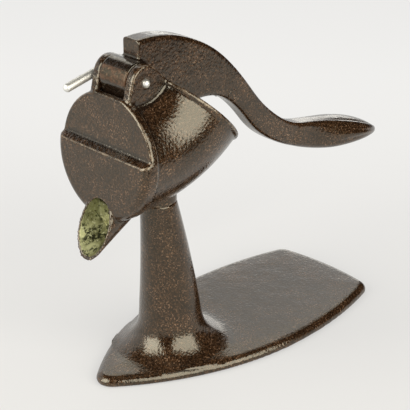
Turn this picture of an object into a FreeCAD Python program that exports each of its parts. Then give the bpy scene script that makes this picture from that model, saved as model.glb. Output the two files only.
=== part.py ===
import FreeCAD, Part
import math
import os

# Hinged lemon squeezer, in millimetres.
# The origin is on the resting plane under the foot of the column. +X runs back along the lever, +Z is up,
# and the object is the same on both sides of the plane Y = 0 apart from the bent end of the hinge pin.

# Base plate and sole
PLATE_THICKNESS = 6.0
PLATE_NOSE_X = -56.3        # where the two side curves would meet
PLATE_WIDEST_X = 65.0
PLATE_HALF_WIDTH = 47.3
PLATE_BACK_X = 138.0
PLATE_BACK_HALF_WIDTH = 35.5
PLATE_BACK_BOW = 3.6
PLATE_NOSE_RADIUS = 9.0
PLATE_CORNER_RADIUS = 9.0
PLATE_TOP_ROUND = 4.4
PLATE_BOTTOM_ROUND = 0.8
SOLE_THICKNESS = 2.0
SOLE_PROUD = 0.6            # what the sole stands below the casting
SOLE_MARGIN = 4.0           # from the plate's edge to the recess
SOLE_GAP = 0.2              # round the sole in its recess

# Column
COLUMN_TOP_Z = 98.5
COLUMN_TOP_X = -5.8
COLUMN_TOP_RADIUS = 10.2
COLUMN_MIDDLE_Z = 60.0
COLUMN_MIDDLE_X = -0.6
COLUMN_MIDDLE_RADIUS = 14.4
COLUMN_FOOT_Z = 30.0
COLUMN_FOOT_X = 2.0
COLUMN_FOOT_RADIUS = 17.6
SEAT_HEIGHT = 12.0          # the cup's round seat, run up into the barrel's floor
FLARE_RADIUS = 18.0         # hollow fillet between the column and the plate
FLARE_START_ANGLE = 10.0    # its slope where it starts, inside the plate
FLARE_SINK = 0.4            # how far its lowest point lies below the plate's top
FLARE_STEPS = 3
COLUMN_STEPS = 9
CORE_LEDGE_Z = 62.7         # the bolt's washers bear here
CORE_TOP_RADIUS = 8.3
CORE_MIDDLE_RADIUS = 12.6
CORE_BOTTOM_RADIUS = 15.0
CORE_TOP_SHIFT = 3.0        # from the column's own middle, towards the bolt
CORE_MIDDLE_SHIFT = 1.0

# Fasteners between cup and column
BOLT_RADIUS = 3.0
BOLT_LENGTH = 45.0
BOLT_HEAD_HEIGHT = 4.0
BOLT_HEAD_FLATS = 10.0
BOLT_TIP_CHAMFER = 0.5
BOLT_HOLE_CLEARANCE = 0.3
THREAD_CLEARANCE = 0.05
WASHER_RADIUS = 6.0
WASHER_THICKNESS = 1.6
LOCK_WASHER_RADIUS = 5.6
LOCK_WASHER_THICKNESS = 1.6
LOCK_WASHER_SLIT = 1.0
BORE_END_CLEARANCE = 0.5
DOWEL_RADIUS = 1.5
DOWEL_LENGTH = 8.0
DOWEL_OFFSET = 7.0          # from the bolt's axis, towards the back
DOWEL_CLEARANCE = 0.02

# Front wall of the cup, a disc that leans back a little
FRONT_X = -42.0
FRONT_Z = 135.0
FRONT_LEAN = 3.0
FRONT_RADIUS = 34.8
FRONT_THICKNESS = 4.3
FLANGE_THICKNESS = 4.8
FLANGE_ROUND = 1.2
FRONT_TOP_HEIGHT = 33.0     # flat top edge between the ears, above the disc's centre
STEP_DEPTH = 4.3            # what the lower half stands proud
STEP_RADIUS = 34.5
STEP_LIFT = 0.1             # its centre above the disc's
STEP_TOP_HEIGHT = 6.2
STEP_SLOPE_HEIGHT = 2.6
STEP_ROUND = 1.4
STEP_RIM_ROUND = 4.2
CHAMBER_WALL = 3.4
CHAMBER_RIM = 7.2           # wall round the juice chamber
CHAMBER_TOP_DROP = 2.4      # chamber's top below the step's top

# Barrel and mouth
WALL = 3.4
BARREL_RADIUS = 33.2        # where the barrel leaves the front wall
BARREL_DROP = 0.5           # its centre there below the disc's centre
BARREL_WAIST = -1.0         # added to the radius half way along
BARREL_FRONT_PULL = 60.0    # length of the centre line's tangents
BARREL_MOUTH_PULL = 60.0
BARREL_SECTIONS = 9         # from the front wall to the mouth
MOUTH_RADIUS = 35.3
MOUTH_SLOPE = 45.7          # the mouth's axis above the horizontal
MOUTH_ALONG = 44.2          # from the hinge axis down the slope to the mouth's centre
RIM_HEIGHT = 2.4
RIM_PROUD = 0.9
RIM_ROUND = 0.72

# Hinge
HINGE_X = -27.0
HINGE_Z = 175.2
PIN_RADIUS = 2.38
PIN_CLEARANCE = 0.06
PIN_ARM_REACH = 24.0        # from the hinge axis to the centre of the arm's round end
PIN_ARM_DROP_ANGLE = 11.4
PIN_ARM_GAP = 1.0           # between the far ear and the arm
PIN_BEND_RADIUS = 3.6
PIN_END_PROUD = 2.0         # round near end past the near ear
EAR_RADIUS = 9.4            # also from the hinge axis to the mouth's plane
EAR_THICKNESS = 4.9
EAR_GAP_HALF = 10.1
EAR_FRONT_X = -40.6         # front edge's foot on the disc
EAR_FRONT_Z = 160.0
EAR_ROOT_Z = 158.0
EAR_GAP_FLOOR = 5.0         # how far the gap between the ears runs below their roots
EAR_ROUND = 0.8
KNUCKLE_RADIUS = 9.8
KNUCKLE_SIDE_CLEARANCE = 0.3

# Spout
SPOUT_RADIUS = 11.6
SPOUT_WALL = 1.5
SPOUT_DROP_ANGLE = 28.8
SPOUT_AXIS_X = -52.3        # where its axis meets the plane of its opening
SPOUT_AXIS_Z = 98.0
SPOUT_CUT_LEAN = 21.6       # the opening's plane from the vertical
SPOUT_TAIL = 38.0           # how far the tube runs back under the barrel

# Lever
ARM_THICKNESS = 12.0
ARM_TOP_ROUND = 2.0
ARM_BOTTOM_ROUND = 3.0
ROOT_END_X = -23.4
LEVER_TOP = [(-23.4, 194.4), (-3.0, 193.0), (15.0, 187.0), (32.0, 177.4), (46.4, 164.8), (58.0, 151.7),
             (70.3, 136.8), (83.4, 124.9), (97.8, 116.0), (112.0, 111.9), (130.0, 108.5), (150.0, 104.0),
             (163.0, 99.2), (172.0, 94.2), (178.5, 89.0)]
LEVER_BOTTOM = [(20.0, 150.9), (28.0, 150.5), (37.3, 147.9), (47.2, 141.4), (56.4, 132.2), (66.2, 120.8),
                (78.6, 110.9), (92.0, 103.4), (112.0, 95.4), (130.0, 90.0), (148.0, 87.6), (163.0, 87.2),
                (172.0, 87.4), (178.5, 87.9)]
WEB_LOWER_X = 4.0
WEB_LOWER_Z = 149.5
WEB_FOOT_Z = 112.0
WEB_HOLLOW = 3.0            # how far its back edge bows in, along X and along Z
SHANK_TOP_X = -36.3         # at the hinge's height, just inside the knuckle
SHANK_FRONT_X = -34.4
SHANK_FRONT_Z = 164.0
SHANK_TAPER = 0.5           # its front face, between there and its lower end
SHANK_BACK_X = -17.2
ARM_END_TOP_X = 116.0       # the arm's plate ends inside the palm
ARM_END_BOTTOM_X = 110.5
PALM_STATIONS = [           # x at the top, x at the bottom, width, top corner, bottom corner, crown, swell, bow
    (90.0, 84.0, 10.6, 2.0, 3.0, 0.02, -0.7, 0.02),
    (100.0, 94.5, 11.4, 2.1, 3.1, 0.06, -0.3, 0.03),
    (111.0, 105.5, 13.2, 2.4, 3.3, 0.05, 0.18, 0.08),
    (123.0, 118.5, 15.8, 3.2, 4.0, 0.35, 0.4, 0.35),
    (135.0, 131.8, 21.5, 4.2, 4.8, 0.9, 0.4, 0.8),
    (147.0, 145.0, 26.2, 4.8, 5.4, 1.4, 0.3, 1.0),
    (157.0, 156.0, 26.8, 4.6, 5.0, 1.6, 0.1, 0.7),
    (166.0, 165.6, 22.6, 3.6, 3.8, 1.3, 0.0, 0.35),
    (173.0, 172.8, 15.4, 1.9, 2.1, 0.7, 0.0, 0.12),
    (176.6, 176.5, 9.2, 0.9, 1.0, 0.3, 0.0, 0.06),
    (178.4, 178.4, 3.2, 0.3, 0.3, 0.06, 0.0, 0.02),
]

# Presser and strainer
PRESSER_RADIUS = 25.8
PRESSER_CENTRE_DROP = 41.8  # below the hinge axis
PRESSER_THICKNESS = 7.0
PRESSER_GAP = 3.4           # between its ribs and the strainer
PRESSER_EDGE_ROUND = 1.6
RIB_COUNT = 9
RIB_PITCH = 5.4
RIB_WIDTH = 2.6
RIB_DEPTH = 1.8
RIM_BAND = 2.2
PRESSER_SCREW_SPACING = 27.0
PRESSER_SCREW_RADIUS = 2.5
PRESSER_SCREW_HEAD_RADIUS = 4.6
PRESSER_SCREW_LENGTH = 14.0
SLOT_WIDTH = 1.1
SLOT_DEPTH = 0.9
SHANK_PRESSER_GAP = 0.5
STRAINER_THICKNESS = 1.0
STRAINER_CLEARANCE = 1.0    # between its edge and the barrel's inner face
STRAINER_TOP_HEIGHT = 10.5
STRAINER_HOLE_RADIUS = 1.3
STRAINER_HOLE_PITCH = 5.2
STRAINER_HOLE_MARGIN = 2.6
STRAINER_SCREW_HEIGHT = 7.4
STRAINER_SCREW_INSET = 8.2  # from the plate's round edge, level with its centre
STRAINER_SCREW_RADIUS = 1.25
STRAINER_SCREW_HEAD_RADIUS = 2.4
STRAINER_SCREW_HEAD_HEIGHT = 1.2
STRAINER_SCREW_DEPTH = 2.8
STRAINER_SLOT_WIDTH = 0.73
STRAINER_SLOT_DEPTH = 0.45

BIG = 400.0                 # side of the blocks that stand for half spaces
PAST = 1.0                  # how far a cutting body runs on past the face that it cuts

ORIGIN = FreeCAD.Vector(0, 0, 0)
X_AXIS = FreeCAD.Vector(1, 0, 0)
Y_AXIS = FreeCAD.Vector(0, 1, 0)
Z_AXIS = FreeCAD.Vector(0, 0, 1)

PLATE_BOTTOM_Z = SOLE_PROUD
PLATE_TOP_Z = PLATE_BOTTOM_Z + PLATE_THICKNESS
HINGE = FreeCAD.Vector(HINGE_X, 0, HINGE_Z)
EAR_OUTER = EAR_GAP_HALF + EAR_THICKNESS
KNUCKLE_HALF = EAR_GAP_HALF - KNUCKLE_SIDE_CLEARANCE
MOUTH_NORMAL = FreeCAD.Vector(math.cos(math.radians(MOUTH_SLOPE)), 0, math.sin(math.radians(MOUTH_SLOPE)))
MOUTH_DOWN = FreeCAD.Vector(MOUTH_NORMAL.z, 0, -MOUTH_NORMAL.x)
MOUTH_CENTRE = HINGE + MOUTH_NORMAL * EAR_RADIUS + MOUTH_DOWN * MOUTH_ALONG
STRAINER_RADIUS = BARREL_RADIUS - WALL - STRAINER_CLEARANCE
STRAINER_SCREW_Y = STRAINER_RADIUS - STRAINER_SCREW_INSET
BOLT_TIP_Z = CORE_LEDGE_Z - WASHER_THICKNESS - LOCK_WASHER_THICKNESS + BOLT_LENGTH


def point(x, z, y=0.0):
    """A point given in the object's side view."""
    return FreeCAD.Vector(x, y, z)


def polygon(points):
    """Closed face through points."""
    return Part.Face(Part.makePolygon(points + [points[0]]))


def cylinder_along(radius, start, direction, length):
    return Part.makeCylinder(radius, length, start, direction)


def across(radius, x, z, half_width):
    """Cylinder along Y, centred on the middle plane."""
    return cylinder_along(radius, point(x, z, -half_width), Y_AXIS, 2 * half_width)


def block(x_range, y_range, z_range):
    corner = FreeCAD.Vector(x_range[0], y_range[0], z_range[0])
    return Part.makeBox(x_range[1] - x_range[0], y_range[1] - y_range[0], z_range[1] - z_range[0], corner)


def half_space(origin, normal):
    """Large block on the side of a plane that its normal points to."""
    slab = Part.makeBox(BIG, BIG, BIG, FreeCAD.Vector(-BIG / 2, -BIG / 2, 0))
    turn = FreeCAD.Rotation(Z_AXIS, normal)
    slab.Placement = FreeCAD.Placement(origin, turn)
    return slab


def slab_from_side_view(face, half_width):
    """Face drawn in the side view, thickened equally to both sides."""
    solid = face.extrude(FreeCAD.Vector(0, 2 * half_width, 0))
    solid.translate(FreeCAD.Vector(0, -half_width, 0))
    return solid


def edges_where(shape, test):
    return [edge for edge in shape.Edges if test(edge)]


def edge_middle(edge):
    return edge.valueAt((edge.FirstParameter + edge.LastParameter) / 2)


def upright(edge):
    return abs(edge.tangentAt(edge.FirstParameter).z) > 0.9


def front_frame(shape):
    """Turn and move a shape drawn about the disc's centre to its place on the front wall."""
    placed = shape.copy()
    placed.rotate(ORIGIN, Y_AXIS, FRONT_LEAN)
    placed.translate(FreeCAD.Vector(FRONT_X, 0, FRONT_Z))
    return placed


# Base casting and sole

def side_arc(x_end, y_end, side, inset, stop):
    """Arc of the plate's outline from the widest point, moved inwards by inset. stop gives its end angle."""
    run = x_end - PLATE_WIDEST_X
    rise = PLATE_HALF_WIDTH - y_end
    radius = (run * run + rise * rise) / (2 * rise)
    centre_y = PLATE_HALF_WIDTH - radius
    reach = radius - inset
    end_angle = stop(centre_y, reach)
    middle_angle = (end_angle + math.pi / 2) / 2

    def at(angle):
        return FreeCAD.Vector(PLATE_WIDEST_X + reach * math.cos(angle),
                              side * (centre_y + reach * math.sin(angle)), 0)

    return [at(math.pi / 2), at(middle_angle), at(end_angle)]


def plate_outline(inset):
    """Flat-iron outline moved inwards: two arcs a side, a shallow arc across the back, rounded corners."""
    back_x = PLATE_BACK_X - inset

    def at_nose(centre_y, reach):
        return math.pi - math.asin(-centre_y / reach)

    def at_back(centre_y, reach):
        return math.acos((back_x - PLATE_WIDEST_X) / reach)

    edges = []
    back_corners = []
    for side in (1, -1):
        edges.append(Part.Arc(*side_arc(PLATE_NOSE_X, 0.0, side, inset, at_nose)).toShape())
        rear = side_arc(PLATE_BACK_X, PLATE_BACK_HALF_WIDTH, side, inset, at_back)
        edges.append(Part.Arc(*rear).toShape())
        back_corners.append(rear[2])
    back_middle = FreeCAD.Vector(back_x + PLATE_BACK_BOW, 0, 0)
    edges.append(Part.Arc(back_corners[0], back_middle, back_corners[1]).toShape())
    solid = Part.Face(Part.Wire(Part.__sortEdges__(edges))).extrude(Z_AXIS)
    nose = edges_where(solid, lambda edge: upright(edge) and edge_middle(edge).x < PLATE_NOSE_X / 2)
    solid = solid.makeFillet(PLATE_NOSE_RADIUS - inset, nose)
    corners = edges_where(solid, lambda edge: upright(edge) and abs(edge_middle(edge).x - back_x) < 0.01)
    solid = solid.makeFillet(PLATE_CORNER_RADIUS - inset, corners)
    bottom = [face for face in solid.Faces if abs(face.CenterOfMass.z) < 1e-6][0]
    return Part.Face(bottom.OuterWire)


def plate_slab(inset, z_bottom, z_top):
    slab = plate_outline(inset).extrude(FreeCAD.Vector(0, 0, z_top - z_bottom))
    slab.translate(FreeCAD.Vector(0, 0, z_bottom))
    return slab


def through_three(z, heights, values):
    """Value at height z of the curve through three given values."""
    total = 0.0
    for i in range(3):
        weight = values[i]
        for j in range(3):
            if j != i:
                weight *= (z - heights[j]) / (heights[i] - heights[j])
        total += weight
    return total


def column_section(z, spread=0.0):
    """Height, centre and radius of the leaning, tapered column at height z."""
    heights = (COLUMN_FOOT_Z, COLUMN_MIDDLE_Z, COLUMN_TOP_Z)
    centre = through_three(z, heights, (COLUMN_FOOT_X, COLUMN_MIDDLE_X, COLUMN_TOP_X))
    radius = through_three(z, heights, (COLUMN_FOOT_RADIUS, COLUMN_MIDDLE_RADIUS, COLUMN_TOP_RADIUS))
    return (z, centre, radius + spread)


def column_sections():
    """Sections from inside the plate, up the hollow fillet and the column to the seat."""
    arc_top_z = PLATE_TOP_Z - FLARE_SINK + FLARE_RADIUS
    sections = []
    for step in range(FLARE_STEPS):
        slope = math.radians(FLARE_START_ANGLE + step * (90.0 - FLARE_START_ANGLE) / FLARE_STEPS)
        z = arc_top_z - FLARE_RADIUS * math.cos(slope)
        sections.append(column_section(z, FLARE_RADIUS * (1 - math.sin(slope))))
    for step in range(COLUMN_STEPS + 1):
        sections.append(column_section(arc_top_z + step * (COLUMN_TOP_Z - arc_top_z) / COLUMN_STEPS))
    return sections


def round_loft(sections):
    wires = [Part.Wire(Part.makeCircle(radius, point(x, z), Z_AXIS)) for z, x, radius in sections]
    return Part.makeLoft(wires, True, False)


def base_casting():
    plate = plate_slab(0.0, PLATE_BOTTOM_Z, PLATE_TOP_Z)
    top_edges = edges_where(plate, lambda edge: abs(edge_middle(edge).z - PLATE_TOP_Z) < 1e-6)
    plate = plate.makeFillet(PLATE_TOP_ROUND, top_edges)
    bottom_edges = edges_where(plate, lambda edge: abs(edge_middle(edge).z - PLATE_BOTTOM_Z) < 1e-6)
    plate = plate.makeFillet(PLATE_BOTTOM_ROUND, bottom_edges)
    casting = plate.fuse(round_loft(column_sections()))
    core = round_loft([
        (PLATE_BOTTOM_Z - PAST, COLUMN_FOOT_X, CORE_BOTTOM_RADIUS),
        (COLUMN_FOOT_Z, COLUMN_FOOT_X - CORE_MIDDLE_SHIFT, CORE_MIDDLE_RADIUS),
        (CORE_LEDGE_Z, COLUMN_MIDDLE_X - CORE_TOP_SHIFT, CORE_TOP_RADIUS),
    ])
    recess = plate_slab(SOLE_MARGIN, PLATE_BOTTOM_Z - PAST, SOLE_THICKNESS)
    bolt_hole = cylinder_along(BOLT_RADIUS + BOLT_HOLE_CLEARANCE, point(COLUMN_TOP_X, CORE_LEDGE_Z - PAST),
                               Z_AXIS, COLUMN_TOP_Z - CORE_LEDGE_Z + 2 * PAST)
    return casting.cut([core, recess, bolt_hole, dowel_hole()]).removeSplitter()


def sole():
    return plate_slab(SOLE_MARGIN + SOLE_GAP, 0.0, SOLE_THICKNESS)


# Fasteners between the cup and the column

def dowel(radius, extra_length=0.0):
    length = DOWEL_LENGTH + extra_length
    return cylinder_along(radius, point(COLUMN_TOP_X + DOWEL_OFFSET, COLUMN_TOP_Z - length / 2), Z_AXIS, length)


def dowel_hole():
    return dowel(DOWEL_RADIUS + DOWEL_CLEARANCE, 2 * BORE_END_CLEARANCE)


def bolt_bore():
    """Tapped hole in the cup's seat."""
    return cylinder_along(BOLT_RADIUS + THREAD_CLEARANCE, point(COLUMN_TOP_X, COLUMN_TOP_Z - PAST), Z_AXIS,
                          BOLT_TIP_Z + BORE_END_CLEARANCE - COLUMN_TOP_Z + PAST)


def column_bolt():
    head_top = BOLT_TIP_Z - BOLT_LENGTH
    corner = BOLT_HEAD_FLATS / math.sqrt(3)
    corners = [FreeCAD.Vector(COLUMN_TOP_X + corner * math.cos(math.radians(60 * i)),
                              corner * math.sin(math.radians(60 * i)), head_top - BOLT_HEAD_HEIGHT)
               for i in range(6)]
    head = polygon(corners).extrude(FreeCAD.Vector(0, 0, BOLT_HEAD_HEIGHT))
    shank = cylinder_along(BOLT_RADIUS, point(COLUMN_TOP_X, head_top), Z_AXIS, BOLT_LENGTH)
    tip_edges = edges_where(shank, lambda edge: edge.Closed and abs(edge.CenterOfMass.z - BOLT_TIP_Z) < 1e-6)
    return head.fuse(shank.makeChamfer(BOLT_TIP_CHAMFER, tip_edges)).removeSplitter()


def ring(outer, z_bottom, thickness):
    start = point(COLUMN_TOP_X, z_bottom)
    hole = cylinder_along(BOLT_RADIUS + BOLT_HOLE_CLEARANCE, start, Z_AXIS, thickness)
    return cylinder_along(outer, start, Z_AXIS, thickness).cut(hole)


def column_washer():
    return ring(WASHER_RADIUS, CORE_LEDGE_Z - WASHER_THICKNESS, WASHER_THICKNESS)


def column_lock_washer():
    z_bottom = CORE_LEDGE_Z - WASHER_THICKNESS - LOCK_WASHER_THICKNESS
    slit = block((COLUMN_TOP_X, COLUMN_TOP_X + LOCK_WASHER_RADIUS + PAST),
                 (-LOCK_WASHER_SLIT / 2, LOCK_WASHER_SLIT / 2),
                 (z_bottom - PAST, z_bottom + LOCK_WASHER_THICKNESS + PAST))
    return ring(LOCK_WASHER_RADIUS, z_bottom, LOCK_WASHER_THICKNESS).cut(slit)


# Cup casting

def barrel(inset):
    """Bent barrel lofted from inside the front wall to just past the mouth, drawn in by inset."""
    lean = math.radians(-FRONT_LEAN)
    start = point(FRONT_X + FRONT_THICKNESS / 2, FRONT_Z - BARREL_DROP)
    start_pull = FreeCAD.Vector(math.cos(lean), 0, math.sin(lean)) * BARREL_FRONT_PULL
    end_pull = MOUTH_NORMAL * BARREL_MOUTH_PULL
    wires = []
    for i in range(BARREL_SECTIONS + 1):
        t = i / (BARREL_SECTIONS - 1)
        centre = (start * (2 * t ** 3 - 3 * t ** 2 + 1) + start_pull * (t ** 3 - 2 * t ** 2 + t)
                  + MOUTH_CENTRE * (3 * t ** 2 - 2 * t ** 3) + end_pull * (t ** 3 - t ** 2))
        angle = lean + t * (math.radians(MOUTH_SLOPE) - lean)
        normal = FreeCAD.Vector(math.cos(angle), 0, math.sin(angle))
        radius = BARREL_RADIUS + (MOUTH_RADIUS - BARREL_RADIUS) * t + BARREL_WAIST * 4 * t * (1 - t) - inset
        wires.append(Part.Wire(Part.makeCircle(radius, centre, normal)))
    return Part.makeLoft(wires, True, False)


def cup_hollow():
    """Inside of the barrel behind the front wall, on past the mouth."""
    behind_wall = front_frame(half_space(FreeCAD.Vector(FRONT_THICKNESS, 0, 0), X_AXIS))
    return barrel(WALL).common(behind_wall)


def front_disc():
    """Front wall about the disc's centre: a round flange above, and the proud lower half in its place below."""
    flange = cylinder_along(FRONT_RADIUS, ORIGIN, X_AXIS, FLANGE_THICKNESS)
    front_edge = edges_where(flange, lambda edge: edge.Closed and abs(edge.CenterOfMass.x) < 1e-6)
    flange = flange.makeFillet(FLANGE_ROUND, front_edge)
    above = block((-PAST, FLANGE_THICKNESS + PAST), (-BIG, BIG), (FRONT_TOP_HEIGHT, BIG))
    below = block((-PAST, FLANGE_THICKNESS + PAST), (-BIG, BIG), (-BIG, STEP_TOP_HEIGHT - STEP_SLOPE_HEIGHT))
    return flange.cut([above, below]).fuse(step())


def step():
    """The lower half that stands proud of the disc, with a sloping ledge along its top."""
    depth = STEP_DEPTH + FLANGE_THICKNESS
    solid = cylinder_along(STEP_RADIUS, FreeCAD.Vector(-STEP_DEPTH, 0, STEP_LIFT), X_AXIS, depth)
    rim_edge = edges_where(solid, lambda edge: edge.Closed and abs(edge.CenterOfMass.x + STEP_DEPTH) < 1e-6)
    solid = solid.makeFillet(STEP_RIM_ROUND, rim_edge)
    ledge_low = STEP_TOP_HEIGHT - STEP_SLOPE_HEIGHT
    ahead = -STEP_DEPTH - PAST
    above = polygon([point(ahead, ledge_low), point(-STEP_DEPTH, ledge_low), point(0, STEP_TOP_HEIGHT),
                     point(depth, STEP_TOP_HEIGHT), point(depth, BIG), point(ahead, BIG)])
    solid = solid.cut(slab_from_side_view(above, BIG / 2))
    ledge_edge = edges_where(solid, lambda edge: abs(edge_middle(edge).z - ledge_low) < 1e-4
                             and abs(edge_middle(edge).x + STEP_DEPTH) < 1e-4)
    return solid.makeFillet(STEP_ROUND, ledge_edge)


def juice_chamber():
    """Hollow behind the proud lower half, open towards the strainer."""
    chamber_x = -STEP_DEPTH + CHAMBER_WALL
    chamber = cylinder_along(STEP_RADIUS - CHAMBER_RIM, FreeCAD.Vector(chamber_x, 0, STEP_LIFT), X_AXIS,
                             FLANGE_THICKNESS - chamber_x)
    above = block((-BIG / 2, BIG / 2), (-BIG / 2, BIG / 2),
                  (STEP_TOP_HEIGHT - STEP_SLOPE_HEIGHT - CHAMBER_TOP_DROP, BIG))
    return chamber.cut(above)


def ears():
    """Both hinge ears as one slab on each side: leaning front edge, round top, back edge in the mouth's plane."""
    foot = point(EAR_FRONT_X, EAR_FRONT_Z)
    reach = (HINGE - foot).Length
    to_hinge = math.atan2(HINGE_Z - EAR_FRONT_Z, HINGE_X - EAR_FRONT_X)
    front_normal = to_hinge + math.pi - math.acos(EAR_RADIUS / reach)
    back_normal = math.radians(MOUTH_SLOPE)
    middle = (front_normal + back_normal) / 2
    tangent_points = [HINGE + point(math.cos(a), math.sin(a)) * EAR_RADIUS
                      for a in (front_normal, middle, back_normal)]
    back_foot = tangent_points[2] + MOUTH_DOWN * (MOUTH_ALONG - MOUTH_RADIUS / 2)
    root_front = point(EAR_FRONT_X, EAR_ROOT_Z)
    root_back = point(back_foot.x, EAR_ROOT_Z)
    outline = Part.Wire([
        Part.LineSegment(root_front, foot).toShape(),
        Part.LineSegment(foot, tangent_points[0]).toShape(),
        Part.Arc(*tangent_points).toShape(),
        Part.LineSegment(tangent_points[2], back_foot).toShape(),
        Part.LineSegment(back_foot, root_back).toShape(),
        Part.LineSegment(root_back, root_front).toShape(),
    ])
    slab = slab_from_side_view(Part.Face(outline), EAR_OUTER)
    round_edges = edges_where(slab, lambda edge: abs(abs(edge_middle(edge).y) - EAR_OUTER) < 1e-6
                              and edge_middle(edge).z > EAR_FRONT_Z + EAR_ROUND)
    return slab.makeFillet(EAR_ROUND, round_edges)


def ear_gap():
    """Open slot between the ears, behind the front wall and out through the mouth."""
    slot = block((FRONT_X, HINGE_X + BIG / 4), (-EAR_GAP_HALF, EAR_GAP_HALF), (EAR_ROOT_Z - EAR_GAP_FLOOR, BIG / 2))
    front_wall = front_disc_space()
    return slot.cut(front_wall)


def front_disc_space():
    """The front wall's own thickness, up to its flat top edge."""
    space = block((-BIG / 4, FRONT_THICKNESS), (-BIG / 4, BIG / 4), (-BIG / 4, FRONT_TOP_HEIGHT))
    return front_frame(space)


def above_front_edge():
    """Space over the front wall's flat top edge between the ears."""
    space = block((-STEP_DEPTH - PAST, FRONT_THICKNESS + PAST), (-EAR_GAP_HALF, EAR_GAP_HALF),
                  (FRONT_TOP_HEIGHT, BIG / 4))
    return front_frame(space)


def rim():
    start = MOUTH_CENTRE - MOUTH_NORMAL * RIM_HEIGHT
    band = cylinder_along(MOUTH_RADIUS + RIM_PROUD, start, MOUTH_NORMAL, RIM_HEIGHT)
    return band.makeFillet(RIM_ROUND, edges_where(band, lambda edge: edge.Closed))


def spout_direction():
    drop = math.radians(SPOUT_DROP_ANGLE)
    return FreeCAD.Vector(-math.cos(drop), 0, -math.sin(drop))


def spout_tube(radius):
    """Round tube along the spout's axis, cut off by the plane of its opening."""
    direction = spout_direction()
    mouth = point(SPOUT_AXIS_X, SPOUT_AXIS_Z)
    tube = cylinder_along(radius, mouth - direction * SPOUT_TAIL, direction, SPOUT_TAIL + 3 * SPOUT_RADIUS)
    lean = math.radians(SPOUT_CUT_LEAN)
    return tube.cut(half_space(mouth, FreeCAD.Vector(-math.cos(lean), 0, math.sin(lean))))


def spout_bore():
    """Juice way from the chamber out through the front wall's lower edge and down the spout."""
    direction = spout_direction()
    start = point(SPOUT_AXIS_X, SPOUT_AXIS_Z) - direction * SPOUT_TAIL
    bore = cylinder_along(SPOUT_RADIUS - SPOUT_WALL, start, direction, SPOUT_TAIL + 3 * SPOUT_RADIUS)
    behind = front_frame(half_space(FreeCAD.Vector(FRONT_THICKNESS, 0, 0), X_AXIS))
    return bore.cut(behind)


def seat():
    """Round seat on the column's top, run up into the barrel's floor."""
    return cylinder_along(COLUMN_TOP_RADIUS, point(COLUMN_TOP_X, COLUMN_TOP_Z), Z_AXIS, SEAT_HEIGHT)


def cup_casting():
    above_mouth = half_space(MOUTH_CENTRE, MOUTH_NORMAL)
    outside = barrel(0.0).fuse([front_frame(front_disc()), seat(), spout_tube(SPOUT_RADIUS)])
    outside = outside.cut(above_mouth).fuse([ears(), rim()])
    pin_bore = across(PIN_RADIUS + PIN_CLEARANCE, HINGE_X, HINGE_Z, EAR_OUTER + PAST)
    cup = outside.cut([cup_hollow(), ear_gap(), above_front_edge(), front_frame(juice_chamber()),
                       spout_bore(), pin_bore, bolt_bore(), dowel_hole()])
    holes = [front_frame(screw_shank_hole(side)) for side in (1, -1)]
    return cup.cut(holes).removeSplitter()


# Strainer

def screw_shank_hole(side):
    depth = STRAINER_SCREW_DEPTH + BORE_END_CLEARANCE / 2
    start = FreeCAD.Vector(FRONT_THICKNESS - depth, side * STRAINER_SCREW_Y, STRAINER_SCREW_HEIGHT)
    return cylinder_along(STRAINER_SCREW_RADIUS + THREAD_CLEARANCE, start, X_AXIS,
                          depth + STRAINER_THICKNESS + PAST)


def strainer_plate():
    start = FreeCAD.Vector(FRONT_THICKNESS, 0, 0)
    plate = cylinder_along(STRAINER_RADIUS, start, X_AXIS, STRAINER_THICKNESS)
    plate = plate.cut(block((-PAST, BIG), (-BIG / 2, BIG / 2), (STRAINER_TOP_HEIGHT, BIG)))
    row_height = STRAINER_HOLE_PITCH * math.sqrt(3) / 2
    reach = math.ceil(STRAINER_RADIUS / row_height)
    holes = []
    for row in range(-reach, 1):
        z = row * row_height - STRAINER_HOLE_PITCH / 2
        for column in range(-reach, reach + 1):
            y = (column + (row % 2) / 2) * STRAINER_HOLE_PITCH
            if math.hypot(y, z) + STRAINER_HOLE_RADIUS + STRAINER_HOLE_MARGIN < STRAINER_RADIUS:
                holes.append(cylinder_along(STRAINER_HOLE_RADIUS, FreeCAD.Vector(FRONT_THICKNESS - PAST, y, z),
                                            X_AXIS, STRAINER_THICKNESS + 2 * PAST))
    for side in (1, -1):
        holes.append(screw_shank_hole(side))
    return front_frame(plate.cut(holes))


def strainer_screws():
    screws = []
    for side in (1, -1):
        face_x = FRONT_THICKNESS + STRAINER_THICKNESS
        centre = FreeCAD.Vector(face_x, side * STRAINER_SCREW_Y, STRAINER_SCREW_HEIGHT)
        length = STRAINER_SCREW_DEPTH + STRAINER_THICKNESS
        shank = cylinder_along(STRAINER_SCREW_RADIUS, centre - X_AXIS * length, X_AXIS, length)
        head = cylinder_along(STRAINER_SCREW_HEAD_RADIUS, centre, X_AXIS, STRAINER_SCREW_HEAD_HEIGHT)
        head_top = face_x + STRAINER_SCREW_HEAD_HEIGHT
        slot_half = STRAINER_SCREW_HEAD_RADIUS + PAST
        slot = block((head_top - STRAINER_SLOT_DEPTH, head_top + PAST),
                     (centre.y - slot_half, centre.y + slot_half),
                     (centre.z - STRAINER_SLOT_WIDTH / 2, centre.z + STRAINER_SLOT_WIDTH / 2))
        screws.append(front_frame(head.fuse(shank).cut(slot)))
    return Part.makeCompound(screws)


# Lever, presser and hinge pin

def presser_face_x():
    """Front of the presser's ribs, in the lever's closed place."""
    return FRONT_X + FRONT_THICKNESS + STRAINER_THICKNESS + PRESSER_GAP


def presser_back_x():
    return presser_face_x() + PRESSER_THICKNESS


def presser_centre_z():
    return HINGE_Z - PRESSER_CENTRE_DROP


def curve_through(points):
    """Smooth curve through points of the side view."""
    curve = Part.BSplineCurve()
    curve.interpolate([point(x, z) for x, z in points])
    return curve


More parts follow.
